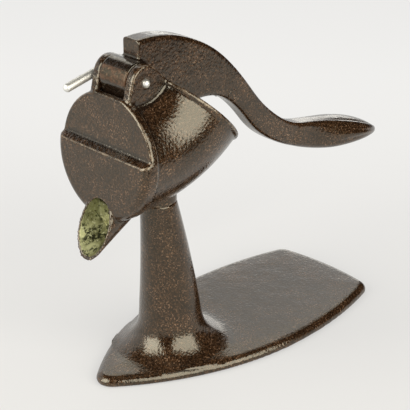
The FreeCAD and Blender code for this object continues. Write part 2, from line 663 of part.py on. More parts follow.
def parameter_at(curve, x):
    """Where a curve that runs steadily along X reaches x."""
    low, high = curve.FirstParameter, curve.LastParameter
    rising = curve.value(high).x > curve.value(low).x
    for _ in range(50):
        middle = (low + high) / 2
        if (curve.value(middle).x < x) == rising:
            low = middle
        else:
            high = middle
    return (low + high) / 2


def arm_and_web():
    """Flat-sided arm with the web that runs down into the cup to the presser's back."""
    top = curve_through(LEVER_TOP)
    bottom = curve_through(LEVER_BOTTOM)
    top_end = parameter_at(top, ARM_END_TOP_X)
    bottom_end = parameter_at(bottom, ARM_END_BOTTOM_X)
    back_x = presser_back_x()
    web_knee = point(WEB_LOWER_X, WEB_LOWER_Z)
    web_foot = point(back_x, WEB_FOOT_Z)
    web_curve = Part.Arc(web_knee, (web_knee + web_foot) * 0.5 + point(-WEB_HOLLOW, WEB_HOLLOW), web_foot)
    outline = Part.Wire([
        top.toShape(top.FirstParameter, top_end),
        Part.LineSegment(top.value(top_end), bottom.value(bottom_end)).toShape(),
        bottom.toShape(bottom.FirstParameter, bottom_end),
        Part.LineSegment(point(*LEVER_BOTTOM[0]), web_knee).toShape(),
        web_curve.toShape(),
        Part.LineSegment(web_foot, point(back_x, HINGE_Z)).toShape(),
        Part.LineSegment(point(back_x, HINGE_Z), point(ROOT_END_X, HINGE_Z)).toShape(),
        Part.LineSegment(point(ROOT_END_X, HINGE_Z), point(*LEVER_TOP[0])).toShape(),
    ])
    solid = slab_from_side_view(Part.Face(outline), ARM_THICKNESS / 2)

    def on_curve(edge, above):
        middle = edge_middle(edge)
        flat = abs(abs(middle.y) - ARM_THICKNESS / 2) < 1e-6
        return flat and isinstance(edge.Curve, Part.BSplineCurve) and (middle.z > WEB_LOWER_Z) == above

    solid = solid.makeFillet(ARM_TOP_ROUND, edges_where(solid, lambda edge: on_curve(edge, True)))
    return solid.makeFillet(ARM_BOTTOM_ROUND, edges_where(solid, lambda edge: on_curve(edge, False)))


def palm_section(station):
    """Rounded section of the handle: bowed sides, top and bottom, and four corner arcs."""
    top_x, bottom_x, width, top_corner, bottom_corner, crown, swell, bow = station
    top_curve = curve_through(LEVER_TOP)
    bottom_curve = curve_through(LEVER_BOTTOM)
    top = top_curve.value(parameter_at(top_curve, top_x))
    down = bottom_curve.value(parameter_at(bottom_curve, bottom_x)) - top
    height = down.Length + 2 * swell
    down.normalize()
    top = top - down * swell
    half = width / 2 - bow
    slant = 1 - math.sqrt(0.5)

    def at(y, depth):
        return top + Y_AXIS * y + down * depth

    corners = []
    for y_side, is_top in ((-1, True), (1, True), (1, False), (-1, False)):
        radius = top_corner if is_top else bottom_corner
        edge_depth = crown if is_top else height - crown
        inward = 1 if is_top else -1
        on_side = at(y_side * half, edge_depth + inward * radius)
        on_arc = at(y_side * (half - radius * slant), edge_depth + inward * radius * slant)
        on_face = at(y_side * (half - radius), edge_depth)
        corners.append((on_side, on_arc, on_face))
    near_top, far_top, far_bottom, near_bottom = corners
    return Part.Wire([
        Part.Arc(*near_top).toShape(),
        Part.Arc(near_top[2], at(0, 0), far_top[2]).toShape(),
        Part.Arc(far_top[2], far_top[1], far_top[0]).toShape(),
        Part.Arc(far_top[0], (far_top[0] + far_bottom[0]) * 0.5 + Y_AXIS * bow, far_bottom[0]).toShape(),
        Part.Arc(*far_bottom).toShape(),
        Part.Arc(far_bottom[2], at(0, height), near_bottom[2]).toShape(),
        Part.Arc(near_bottom[2], near_bottom[1], near_bottom[0]).toShape(),
        Part.Arc(near_bottom[0], (near_bottom[0] + near_top[0]) * 0.5 - Y_AXIS * bow, near_top[0]).toShape(),
    ])


def palm():
    return Part.makeLoft([palm_section(station) for station in PALM_STATIONS], True, False)


def shank():
    """Full-width block from the knuckle down behind the front wall to the top of the presser."""
    low_z = presser_centre_z() + PRESSER_RADIUS + SHANK_PRESSER_GAP
    outline = polygon([
        point(SHANK_TOP_X, HINGE_Z), point(SHANK_FRONT_X, SHANK_FRONT_Z),
        point(SHANK_FRONT_X + SHANK_TAPER, low_z), point(SHANK_BACK_X, low_z), point(SHANK_BACK_X, HINGE_Z),
    ])
    return slab_from_side_view(outline, KNUCKLE_HALF)


def lever_casting():
    knuckle = across(KNUCKLE_RADIUS, HINGE_X, HINGE_Z, KNUCKLE_HALF)
    lever = arm_and_web().fuse([knuckle, shank(), palm()])
    pin_bore = across(PIN_RADIUS + PIN_CLEARANCE, HINGE_X, HINGE_Z, KNUCKLE_HALF + PAST)
    return lever.cut([pin_bore] + [presser_screw_shank(side, THREAD_CLEARANCE, BORE_END_CLEARANCE)
                                   for side in (1, -1)]).removeSplitter()


def presser_screw_shank(side, extra_radius=0.0, extra_length=0.0):
    start = point(presser_face_x() + RIB_DEPTH, presser_centre_z() + side * PRESSER_SCREW_SPACING / 2)
    return cylinder_along(PRESSER_SCREW_RADIUS + extra_radius, start, X_AXIS,
                          PRESSER_SCREW_LENGTH + extra_length)


def presser_screw_head(side, extra_radius=0.0):
    start = point(presser_face_x() + RIB_DEPTH, presser_centre_z() + side * PRESSER_SCREW_SPACING / 2)
    depth = PRESSER_SCREW_HEAD_RADIUS - PRESSER_SCREW_RADIUS
    return Part.makeCone(PRESSER_SCREW_HEAD_RADIUS + extra_radius, PRESSER_SCREW_RADIUS + extra_radius, depth,
                         start, X_AXIS)


def presser():
    """Round plate with upright ribs on its face, inside a plain rim band."""
    face_x = presser_face_x()
    centre_z = presser_centre_z()
    start = point(face_x, centre_z)
    plate = cylinder_along(PRESSER_RADIUS, start, X_AXIS, PRESSER_THICKNESS)
    rims = edges_where(plate, lambda edge: edge.Closed)
    plate = plate.makeFillet(PRESSER_EDGE_ROUND, rims)
    pocket = cylinder_along(PRESSER_RADIUS - RIM_BAND, start - X_AXIS * PAST, X_AXIS, RIB_DEPTH + PAST)
    ahead = face_x - 2 * PAST
    ribs = []
    for i in range(RIB_COUNT):
        y = (i - (RIB_COUNT - 1) / 2) * RIB_PITCH
        ribs.append(block((ahead, face_x + RIB_DEPTH), (y - RIB_WIDTH / 2, y + RIB_WIDTH / 2),
                          (centre_z - PRESSER_RADIUS, centre_z + PRESSER_RADIUS)))
    for side in (1, -1):
        head_start = point(ahead, centre_z + side * PRESSER_SCREW_SPACING / 2)
        spot = cylinder_along(PRESSER_SCREW_HEAD_RADIUS + BOLT_HOLE_CLEARANCE, head_start, X_AXIS,
                              2 * PAST + RIB_DEPTH)
        ribs = [rib.cut(spot) for rib in ribs]
    plate = plate.cut(pocket.cut(ribs))
    cuts = []
    for side in (1, -1):
        cuts.append(presser_screw_shank(side, THREAD_CLEARANCE))
        cuts.append(presser_screw_head(side, THREAD_CLEARANCE))
    return plate.cut(cuts).removeSplitter()


def presser_screws():
    screws = []
    for side in (1, -1):
        head_x = presser_face_x() + RIB_DEPTH
        centre_z = presser_centre_z() + side * PRESSER_SCREW_SPACING / 2
        slot_half = PRESSER_SCREW_HEAD_RADIUS + PAST
        slot = block((head_x - PAST, head_x + SLOT_DEPTH), (-slot_half, slot_half),
                     (centre_z - SLOT_WIDTH / 2, centre_z + SLOT_WIDTH / 2))
        screws.append(presser_screw_shank(side).fuse(presser_screw_head(side)).cut(slot))
    return Part.makeCompound(screws)


def hinge_pin():
    """Rod with a round near end, bent over outside the far ear into a short arm."""
    near_y = -(EAR_OUTER + PIN_END_PROUD - PIN_RADIUS)
    arm_y = EAR_OUTER + PIN_ARM_GAP + PIN_RADIUS
    drop = math.radians(PIN_ARM_DROP_ANGLE)
    arm_direction = FreeCAD.Vector(-math.cos(drop), 0, -math.sin(drop))
    near = point(HINGE_X, HINGE_Z, near_y)
    bend_start = point(HINGE_X, HINGE_Z, arm_y - PIN_BEND_RADIUS)
    bend_centre = bend_start + arm_direction * PIN_BEND_RADIUS
    bend_end = bend_centre + Y_AXIS * PIN_BEND_RADIUS
    bend_middle = bend_centre + (Y_AXIS - arm_direction) * (PIN_BEND_RADIUS * math.sqrt(0.5))
    arm_end = point(HINGE_X, HINGE_Z, arm_y) + arm_direction * PIN_ARM_REACH
    path = Part.Wire([
        Part.LineSegment(near, bend_start).toShape(),
        Part.Arc(bend_start, bend_middle, bend_end).toShape(),
        Part.LineSegment(bend_end, arm_end).toShape(),
    ])
    profile = Part.Wire(Part.makeCircle(PIN_RADIUS, near, Y_AXIS))
    rod = path.makePipeShell([profile], True, False)
    return rod.fuse([Part.makeSphere(PIN_RADIUS, near), Part.makeSphere(PIN_RADIUS, arm_end)]).removeSplitter()


NODES = {
    "base_casting": base_casting,
    "sole": sole,
    "column_bolt": column_bolt,
    "column_washer": column_washer,
    "column_lock_washer": column_lock_washer,
    "locating_pin": lambda: dowel(DOWEL_RADIUS),
    "cup_casting": cup_casting,
    "strainer_plate": strainer_plate,
    "strainer_screws": strainer_screws,
    "lever_casting": lever_casting,
    "presser": presser,
    "presser_screws": presser_screws,
    "hinge_pin": hinge_pin,
}


def main():
    os.makedirs("parts", exist_ok=True)
    for name, build in NODES.items():
        shape = build()
        shape.exportStep(os.path.join("parts", name + ".step"))
        box = shape.BoundBox
        print(name, len(shape.Solids), "valid" if shape.isValid() else "BROKEN",
              "volume", round(shape.Volume), "x", round(box.XMin, 1), round(box.XMax, 1),
              "y", round(box.YMin, 1), round(box.YMax, 1), "z", round(box.ZMin, 1), round(box.ZMax, 1))


main()
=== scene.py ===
import math

import bmesh
import bpy
import numpy as np
from mathutils import Matrix, Vector
from mathutils.kdtree import KDTree


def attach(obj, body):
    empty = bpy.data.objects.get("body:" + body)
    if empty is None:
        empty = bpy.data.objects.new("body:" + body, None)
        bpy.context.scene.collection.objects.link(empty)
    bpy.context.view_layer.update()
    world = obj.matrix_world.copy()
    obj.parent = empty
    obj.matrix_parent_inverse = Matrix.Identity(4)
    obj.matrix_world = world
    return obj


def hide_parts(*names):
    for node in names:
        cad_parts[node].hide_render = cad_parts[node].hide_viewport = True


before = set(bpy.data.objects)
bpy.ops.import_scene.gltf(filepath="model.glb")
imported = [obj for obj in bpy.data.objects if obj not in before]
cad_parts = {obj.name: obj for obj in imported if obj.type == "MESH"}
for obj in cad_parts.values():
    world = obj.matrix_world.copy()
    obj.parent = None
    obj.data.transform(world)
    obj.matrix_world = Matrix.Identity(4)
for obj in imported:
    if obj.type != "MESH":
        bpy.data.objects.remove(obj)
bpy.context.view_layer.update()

# Sizes below are in millimetres unless a name says otherwise. Meshes and textures are in metres.
MM = 0.001

# Camera, solved from the photograph
LENS_MM = 122.93
SENSOR_MM = 36.0
CAMERA_PLACE = (-476.600, -504.818, 421.039)
CAMERA_RIGHT = (0.70570, -0.70851, 0.0)
CAMERA_UP = (0.30245, 0.30125, 0.90431)
CAMERA_BACK = (-0.64071, -0.63817, 0.42688)

# The skins of the castings and the pin: side of the even faces, and rounds that soften the edges
BASE_FACE = 0.80
CUP_FACE = 0.68
LEVER_FACE = 0.55
PRESSER_FACE = 0.60
PIN_FACE = 0.30
BASE_ROUNDS = 8
CUP_ROUNDS = 4
LEVER_ROUNDS = 6
FINE_ROUNDS = 3
JOIN_WITHIN = 0.002         # vertices nearer than this are one
SMOOTH_STEP = 0.55          # each round goes a share forth and a little more back
SMOOTH_BACK = -0.56
RIDGE_ROUNDS = 3
RIDGE_FULL = 0.125          # how far a vertex stands over its surroundings on a full edge
HOLLOW_ROUNDS = 30
HOLLOW_FULL = 0.45          # how far it lies below them in a full hollow

# Places that the skins' masks are worked out from, the same as in the model
HINGE = (-27.0, 0.0, 175.2)
KNUCKLE_RADIUS = 9.8
KNUCKLE_HALF = 9.8
FRONT_CENTRE = (-42.0, 0.0, 135.0)
FRONT_LEAN = 3.0
FRONT_THICKNESS = 4.3
WALL = 3.4
BARREL_RADIUS = 33.2
BARREL_DROP = 0.5
BARREL_PULL = 60.0
MOUTH_RADIUS = 35.3
MOUTH_SLOPE = 45.7
MOUTH_ALONG = 44.2
EAR_RADIUS = 9.4
SPOUT_MOUTH = (-52.3, 0.0, 98.0)
SPOUT_DROP = 28.8
SPOUT_INNER = 10.1
FLANK_Y = 6.0
PLATE_TOP = 6.6
SHEEN_LOW = -4.0              # painted reddish sheen band on the knuckle's front, in degrees above its middle
SHEEN_HIGH = 42.0
LIP_WORN_HIGHLIT_EDGE = 0.3              # share of the worn edges and their painted highlight that the spout's thin lip keeps
SKIN_SLACK = 0.3            # how far a skin may stand off the model's face and still count as it
BORE_SLACK = 0.05
BORE_LENGTH = 24.0          # the spout's bare bore, back from its mouth
LIP_WALL = 2.6              # the spout's lip and tube are looked for within this of the bore
LIP_LENGTH = 14.0
INNER_SHARE = 0.8           # share of the wall that a point has to lie within to be on its inner face
CHAMBER_SLACK = 0.6
BARE_ROUNDS = 1             # rounds that soften each mask's border
CHAMBER_ROUNDS = 2
SHEEN_ROUNDS = 4
PAINTED_SHADE_ROUNDS = 3


def vector(values):
    return Vector(values) * MM


# Meshes

def link(name, mesh):
    piece = bpy.data.objects.new(name, mesh)
    bpy.context.scene.collection.objects.link(piece)
    return piece


def baked_mesh(piece):
    """The piece's evaluated shape as a plain mesh. Its modifiers are removed."""
    graph = bpy.context.evaluated_depsgraph_get()
    mesh = bpy.data.meshes.new_from_object(piece.evaluated_get(graph), depsgraph=graph)
    piece.modifiers.clear()
    return mesh


def neighbour_mean(points, edges, counts):
    """Mean of each vertex's neighbours along the edges."""
    total = np.zeros_like(points)
    for axis in range(points.shape[1]):
        total[:, axis] = (np.bincount(edges[:, 0], points[edges[:, 1], axis], len(points))
                          + np.bincount(edges[:, 1], points[edges[:, 0], axis], len(points)))
    return total / counts[:, None]


def read_points(mesh):
    points = np.zeros(len(mesh.vertices) * 3)
    mesh.vertices.foreach_get("co", points)
    return points.reshape(-1, 3)


def read_edges(mesh):
    edges = np.zeros(len(mesh.edges) * 2, dtype=np.int64)
    mesh.edges.foreach_get("vertices", edges)
    return edges.reshape(-1, 2)


def neighbour_counts(edges, size):
    return np.maximum(np.bincount(edges.ravel(), minlength=size), 1).astype(float)


def read_normals(mesh):
    normals = np.zeros(len(mesh.vertices) * 3)
    mesh.vertices.foreach_get("normal", normals)
    return normals.reshape(-1, 3)


def add_mask(mesh, name, values):
    attribute = mesh.attributes.new(name, "FLOAT", "POINT")
    attribute.data.foreach_set("value", np.clip(values, -1.0, 1.0).astype(np.float32))


def joined_copy(node):
    """A node's mesh with its doubled vertices joined and no material."""
    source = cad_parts[node].data.copy()
    work = bmesh.new()
    work.from_mesh(source)
    bmesh.ops.remove_doubles(work, verts=work.verts, dist=JOIN_WITHIN * MM)
    work.to_mesh(source)
    work.free()
    source.materials.clear()
    return source


def soften(points, edges, counts, rounds):
    """Smoothing in steps forth and back, which rounds the edges and keeps the volume."""
    for _ in range(rounds):
        points += SMOOTH_STEP * (neighbour_mean(points, edges, counts) - points)
        points += SMOOTH_BACK * (neighbour_mean(points, edges, counts) - points)


def add_relief_masks(mesh, points, edges, counts):
    """Masks of the sharp ridges and of the wide hollows, from how far each vertex stands out."""
    normals = read_normals(mesh)
    sunk = points.copy()
    for turn in range(1, HOLLOW_ROUNDS + 1):
        sunk = neighbour_mean(sunk, edges, counts)
        if turn == RIDGE_ROUNDS:
            add_mask(mesh, "ridge", np.sum((points - sunk) * normals, axis=1) / (RIDGE_FULL * MM))
    add_mask(mesh, "hollow", np.sum((sunk - points) * normals, axis=1) / (HOLLOW_FULL * MM))


def skin(node, name, face, rounds):
    """Copy of a node with even faces, soft edges and masks of its ridges and hollows."""
    piece = link(name, joined_copy(node))
    remesh = piece.modifiers.new("even faces", "REMESH")
    remesh.mode = "VOXEL"
    remesh.voxel_size = face * MM
    remesh.adaptivity = 0.0
    piece.data = baked_mesh(piece)
    mesh = piece.data
    points = read_points(mesh)
    edges = read_edges(mesh)
    counts = neighbour_counts(edges, len(points))
    soften(points, edges, counts, rounds)
    mesh.vertices.foreach_set("co", points.ravel())
    mesh.update()
    add_relief_masks(mesh, points, edges, counts)
    mesh.polygons.foreach_set("use_smooth", np.ones(len(mesh.polygons), dtype=bool))
    return piece


def spread_mask(mesh, values, rounds):
    """Values passed on to the neighbours, so that their border is soft."""
    edges = read_edges(mesh)
    counts = neighbour_counts(edges, len(values))
    soft = values.astype(float)[:, None]
    for _ in range(rounds):
        soft = 0.5 * soft + 0.5 * neighbour_mean(soft, edges, counts)
    return soft[:, 0]


# The base plate's soft top

PLATE_EDGE_LOW = 2.5        # the plate's upright edge is read between these heights
PLATE_EDGE_HIGH = 3.4
CROWN_REACH = 17.0          # from the edge to where the top is level
CROWN_DROP = 0.8            # how much the top falls towards the edge
FOOT_AXIS = (2.0, 0.0)
FOOT_NEAR = 17.0            # the ring where the column's foot runs out on the plate
FOOT_FAR = 52.0
FOOT_HIGH = 22.0
FOOT_ROUNDS = 90
SHOULDER_REACH = 34.5       # where the foot runs out over the plate's round edge, beside the column
SHOULDER_HALF = 16.0
SHOULDER_LOW = 3.6
SHOULDER_ROUNDS = 26
SHOULDER_FADE = 6.0
FOOT_STEP = 0.8             # share of the way to the neighbours' mean in each round
FADE = 8.0                  # over which the smoothing of the foot sets in
FAR_FADE = 12.0
EDGE_KEPT = 5.0             # the edge itself isn't smoothed within this of it
UPRIGHT = 0.3               # greatest rise of an upright face's normal
CORE_SHARE = 1.6            # the column's own hollow lies within this many times FOOT_NEAR


def ramp(values, width):
    """0 to 1 over a width."""
    return np.clip(values / width, 0, 1)


def rim_tree(points, normals, away):
    """The plate's upright edge as places to measure from, seen from above."""
    upright = (points[:, 2] > PLATE_EDGE_LOW) & (points[:, 2] < PLATE_EDGE_HIGH)
    upright &= (np.abs(normals[:, 2]) < UPRIGHT) & (away > FOOT_NEAR * CORE_SHARE)
    rim = np.flatnonzero(upright)
    tree = KDTree(len(rim))
    for i, place in enumerate(points[rim]):
        tree.insert((place[0], place[1], 0.0), i)
    tree.balance()
    return tree


def foot_distance(points):
    return np.hypot(points[:, 0] - FOOT_AXIS[0], points[:, 1] - FOOT_AXIS[1])


def lower_top(points, normals):
    """Bends the plate's top down towards its edge. Gives each top point's distance from the edge."""
    tree = rim_tree(points, normals, foot_distance(points))
    inland = np.zeros(len(points))
    for i in np.flatnonzero((normals[:, 2] > 0.0) & (points[:, 2] > PLATE_EDGE_LOW)):
        gap = tree.find((points[i, 0], points[i, 1], 0.0))[2]
        inland[i] = gap
        share = max(0.0, 1.0 - gap / CROWN_REACH)
        height = (points[i, 2] - PLATE_EDGE_LOW) / (PLATE_TOP - PLATE_EDGE_LOW)
        points[i, 2] -= CROWN_DROP * share * share * height
    return inland


def crown_plate(piece):
    """The plate's top falls softly to its edge, and the column's foot runs out with no border."""
    mesh = piece.data
    points = read_points(mesh) / MM
    inland = lower_top(points, read_normals(mesh))
    edges = read_edges(mesh)
    counts = neighbour_counts(edges, len(points))
    away = foot_distance(points)
    soft = ramp(away - FOOT_NEAR, FADE) * ramp(FOOT_FAR - away, FAR_FADE)
    soft *= ramp(FOOT_HIGH - points[:, 2], FADE) * ramp(inland - EDGE_KEPT, FADE)
    beside = np.clip(1.0 - np.abs(away - SHOULDER_REACH) / SHOULDER_FADE, 0, 1)
    beside *= (points[:, 2] > SHOULDER_LOW) & (np.abs(points[:, 0] - FOOT_AXIS[0]) < SHOULDER_HALF)
    for turn in range(FOOT_ROUNDS):
        share = np.maximum(soft, beside) if turn < SHOULDER_ROUNDS else soft
        points += FOOT_STEP * share[:, None] * (neighbour_mean(points, edges, counts) - points)
    mesh.vertices.foreach_set("co", (points * MM).ravel())
    mesh.update()


# Masks on the cup and the lever

def barrel_centres(steps=60):
    """Points of the barrel's bent centre line, in millimetres, with its radius at each."""
    lean = math.radians(-FRONT_LEAN)
    slope = math.radians(MOUTH_SLOPE)
    across = np.array([math.cos(slope), 0, math.sin(slope)])
    down = np.array([math.sin(slope), 0, -math.cos(slope)])
    start = np.array([FRONT_CENTRE[0] + FRONT_THICKNESS / 2, 0, FRONT_CENTRE[2] - BARREL_DROP])
    end = np.array(HINGE) + across * EAR_RADIUS + down * MOUTH_ALONG
    pull = np.array([math.cos(lean), 0, math.sin(lean)]) * BARREL_PULL
    t = np.linspace(0, 1, steps)[:, None]
    centres = (start * (2 * t ** 3 - 3 * t ** 2 + 1) + pull * (t ** 3 - 2 * t ** 2 + t)
               + end * (3 * t ** 2 - 2 * t ** 3) + across * BARREL_PULL * (t ** 3 - t ** 2))
    radii = BARREL_RADIUS + (MOUTH_RADIUS - BARREL_RADIUS) * t[:, 0]
    return centres, radii


def inside_barrel(points):
    """1 for points on the barrel's inner face, behind the front wall."""
    centres, radii = barrel_centres()
    nearest = np.zeros(len(points), dtype=np.int64)
    best = np.full(len(points), 1e9)
    for i in range(len(centres)):
        far = np.sum((points - centres[i]) ** 2, axis=1)
        closer = far < best
        best[closer] = far[closer]
        nearest[closer] = i
    within = np.sqrt(best) < radii[nearest] - WALL * INNER_SHARE
    lean = math.radians(FRONT_LEAN)
    depth = ((points[:, 0] - FRONT_CENTRE[0]) * math.cos(lean)
             - (points[:, 2] - FRONT_CENTRE[2]) * math.sin(lean))
    return (within & (depth > FRONT_THICKNESS - CHAMBER_SLACK)).astype(float)


def spout_place(points):
    """Distance of each point from the spout's axis, and its place along it from the mouth."""
    drop = math.radians(SPOUT_DROP)
    axis = np.array([-math.cos(drop), 0, -math.sin(drop)])
    offset = points - np.array(SPOUT_MOUTH)
    along = offset @ axis
    return np.linalg.norm(offset - along[:, None] * axis, axis=1), along


def inside_spout(points):
    """1 for points on the bore of the spout."""
    out, along = spout_place(points)
    return ((out < SPOUT_INNER + BORE_SLACK) & (along > -BORE_LENGTH)).astype(float)


def near_spout(points):
    """True for points on the spout's lip and tube."""
    out, along = spout_place(points)
    return (out < SPOUT_INNER + LIP_WALL) & (along > -LIP_LENGTH)


def mask_cup(piece):
    """Less of the worn edges and their painted highlight on the spout's lip, and where the spout and the
    barrel are bare inside.
    """
    points = read_points(piece.data) / MM
    ridge = piece.data.attributes["ridge"].data
    values = np.zeros(len(points), dtype=np.float32)
    ridge.foreach_get("value", values)
    values[near_spout(points)] *= LIP_WORN_HIGHLIT_EDGE
    ridge.foreach_set("value", values)
    add_mask(piece.data, "bare", spread_mask(piece.data, inside_spout(points), BARE_ROUNDS))
    add_mask(piece.data, "chamber", spread_mask(piece.data, inside_barrel(points), CHAMBER_ROUNDS))


def mask_lever(piece):
    """Where a reddish sheen is painted across the front of the knuckle between the ears, and where painted
    shade darkens the knuckle and the shank below it.
    """
    points = read_points(piece.data) / MM
    offset = points - np.array(HINGE)
    middle = np.abs(points[:, 1]) < KNUCKLE_HALF + SKIN_SLACK
    knuckle = middle & (np.hypot(offset[:, 0], offset[:, 2]) < KNUCKLE_RADIUS + SKIN_SLACK)
    shank = middle & (points[:, 2] < HINGE[2]) & (points[:, 0] < HINGE[0])
    rise = np.degrees(np.arctan2(offset[:, 2], -offset[:, 0]))
    # the band of painted reddish sheen, where the knuckle's front faces between these angles
    band = knuckle & (rise > SHEEN_LOW) & (rise < SHEEN_HIGH)
    add_mask(piece.data, "sheen_band", spread_mask(piece.data, band, SHEEN_ROUNDS))
    # painted shade: the knuckle and the shank below it are darkened between the ears
    add_mask(piece.data, "painted_shade", spread_mask(piece.data, knuckle | shank, PAINTED_SHADE_ROUNDS))


base = skin("base_casting", "base_body", BASE_FACE, BASE_ROUNDS)
crown_plate(base)
cup = skin("cup_casting", "cup_body", CUP_FACE, CUP_ROUNDS)
lever = skin("lever_casting", "lever_body", LEVER_FACE, LEVER_ROUNDS)
presser = skin("presser", "presser_body", PRESSER_FACE, FINE_ROUNDS)
pin = skin("hinge_pin", "hinge_rod", PIN_FACE, FINE_ROUNDS)
mask_cup(cup)
mask_lever(lever)


# Shader groups

class Tree:
    """Short ways to add and join nodes."""

    def __init__(self, tree):
        self.tree = tree

    def add(self, kind, values=None, **settings):
        node = self.tree.nodes.new(kind)
        for key, value in settings.items():
            setattr(node, key, value)
        for key, value in (values or {}).items():
            self.put(node.inputs[key], value)
        return node

    def put(self, socket, value):
        if isinstance(value, bpy.types.NodeSocket):
            self.tree.links.new(value, socket)
        else:
            socket.default_value = value

    def maths(self, operation, first, second=0.0, third=0.0):
        node = self.add("ShaderNodeMath", operation=operation)
        self.put(node.inputs[0], first)
        self.put(node.inputs[1], second)
        if len(node.inputs) > 2:
            self.put(node.inputs[2], third)
        return node.outputs[0]

    def spread(self, value, low, high):
        """Value from low to high turned into 0 to 1, smoothly and clamped."""
        values = {"Value": value, "From Min": low, "From Max": high, "To Min": 0.0, "To Max": 1.0}
        node = self.add("ShaderNodeMapRange", values, interpolation_type="SMOOTHSTEP")
        return node.outputs["Result"]

    def mix(self, share, first, second):
        node = self.add("ShaderNodeMix", data_type="RGBA", blend_type="MIX")
        self.put(node.inputs[0], share)
        self.put(node.inputs[6], first)
        self.put(node.inputs[7], second)
        return node.outputs[2]

    def noise(self, place, size_mm, detail=2.0, rough=0.5):
        """Fractal noise with features of about size_mm."""
        values = {"Vector": place, "Scale": 1.0 / (size_mm * MM), "Detail": detail, "Roughness": rough}
        return self.add("ShaderNodeTexNoise", values).outputs["Fac"]


def rgb(red, green, blue):
    return (red, green, blue, 1.0)


def grey(level):
    return rgb(level, level, level)


def new_group(name, inputs, outputs):
    """Node group with named sockets, each given as (kind, name, default)."""
    tree = bpy.data.node_groups.new(name, "ShaderNodeTree")
    for kind, label, default in inputs:
        socket = tree.interface.new_socket(label, in_out="INPUT", socket_type=kind)
        if default is not None:
            socket.default_value = default
    for kind, label in outputs:
        tree.interface.new_socket(label, in_out="OUTPUT", socket_type=kind)
    work = Tree(tree)
    source = work.add("NodeGroupInput")
    target = work.add("NodeGroupOutput")
    return tree, work, source.outputs, target.inputs


FLOAT = "NodeSocketFloat"
COLOUR = "NodeSocketColor"
PLACE = "NodeSocketVector"


# The enamel. A SIZE is that of a mark in millimetres, and a SPAN is where its noise sets in and is full

WARP_SCALE = 260.0          # bends per metre
WARP_REACH = 0.0011         # metres
CELL_SOFTNESS = 0.7
CELL_MIDDLE = 0.75
FINE_SIZE = 0.9
FINE_SHARE = 0.85
SWELL_SIZE = 9.0
PATCH_SIZE = 14.0
PATCH_SPAN = (0.36, 0.66)
GRAIN_SIZE = 1.15
GRAIN_SPAN = (0.42, 0.64)
SPECK_SIZE = 0.95
SPECK_SPAN = (0.585, 0.70)
SMOOTHEST_ENAMEL = 0.12
ROUGHER_BY = 0.05


def hammered_enamel_group():
    """Stoved enamel: orange-peel height in millimetres, mottled brown, and how it shines."""
    tree, t, given, out = new_group("hammered enamel", [
        (PLACE, "Place", None),
        (FLOAT, "Peel Size", 2.0),
        (FLOAT, "Peel Depth", 0.03),
        (FLOAT, "Swell Depth", 0.05),
        (COLOUR, "Dark", None),
        (COLOUR, "Brown", None),
        (COLOUR, "Red", None),
    ], [(COLOUR, "Colour"), (FLOAT, "Roughness"), (FLOAT, "Height")])
    place = given["Place"]
    warp = t.add("ShaderNodeTexNoise", {"Vector": place, "Scale": WARP_SCALE, "Detail": 1.0})
    reach = (WARP_REACH, WARP_REACH, WARP_REACH)
    bent = t.add("ShaderNodeVectorMath", {0: warp.outputs["Color"], 1: reach, 2: place},
                 operation="MULTIPLY_ADD").outputs[0]
    scale = t.maths("DIVIDE", 1.0 / MM, given["Peel Size"])
    cell = t.add("ShaderNodeTexVoronoi", {"Vector": bent, "Scale": scale, "Smoothness": CELL_SOFTNESS},
                 feature="SMOOTH_F1")
    peel = t.maths("SUBTRACT", CELL_MIDDLE, cell.outputs["Distance"])
    fine = t.noise(place, FINE_SIZE, 3.0, 0.6)
    swell = t.noise(place, SWELL_SIZE, 2.0, 0.45)
    rough_peel = t.maths("MULTIPLY_ADD", fine, FINE_SHARE, peel)
    height = t.maths("MULTIPLY", rough_peel, given["Peel Depth"])
    height = t.maths("MULTIPLY_ADD", swell, given["Swell Depth"], height)
    patches = t.spread(t.noise(place, PATCH_SIZE, 4.0, 0.6), *PATCH_SPAN)
    grains = t.spread(t.noise(bent, GRAIN_SIZE, 3.0, 0.7), *GRAIN_SPAN)
    specks = t.spread(t.noise(place, SPECK_SIZE, 1.0), *SPECK_SPAN)
    colour = t.mix(grains, given["Dark"], given["Brown"])
    red = t.maths("MULTIPLY", specks, t.maths("MULTIPLY_ADD", patches, 0.5, 0.35))
    colour = t.mix(red, colour, given["Red"])
    shade = t.maths("MULTIPLY_ADD", patches, 0.5, 0.75)
    shaded = t.add("ShaderNodeVectorMath", {0: colour}, operation="SCALE")
    t.put(shaded.inputs["Scale"], shade)
    t.put(out["Colour"], shaded.outputs[0])
    duller = t.maths("MULTIPLY_ADD", patches, ROUGHER_BY, SMOOTHEST_ENAMEL)
    t.put(out["Roughness"], t.maths("MULTIPLY_ADD", grains, ROUGHER_BY, duller))
    t.put(out["Height"], height)
    return tree


# noise for the worn edges and their painted highlight
WORN_HIGHLIT_EDGE_SIZE = 5.0
WORN_HIGHLIT_EDGE_RAGGED = 1.5           # how strongly the noise breaks up the worn edges and their painted highlight
# span of the hollow mask over which the painted shade sets in
HOLLOW_SHADE_SPAN = (0.12, 0.9)


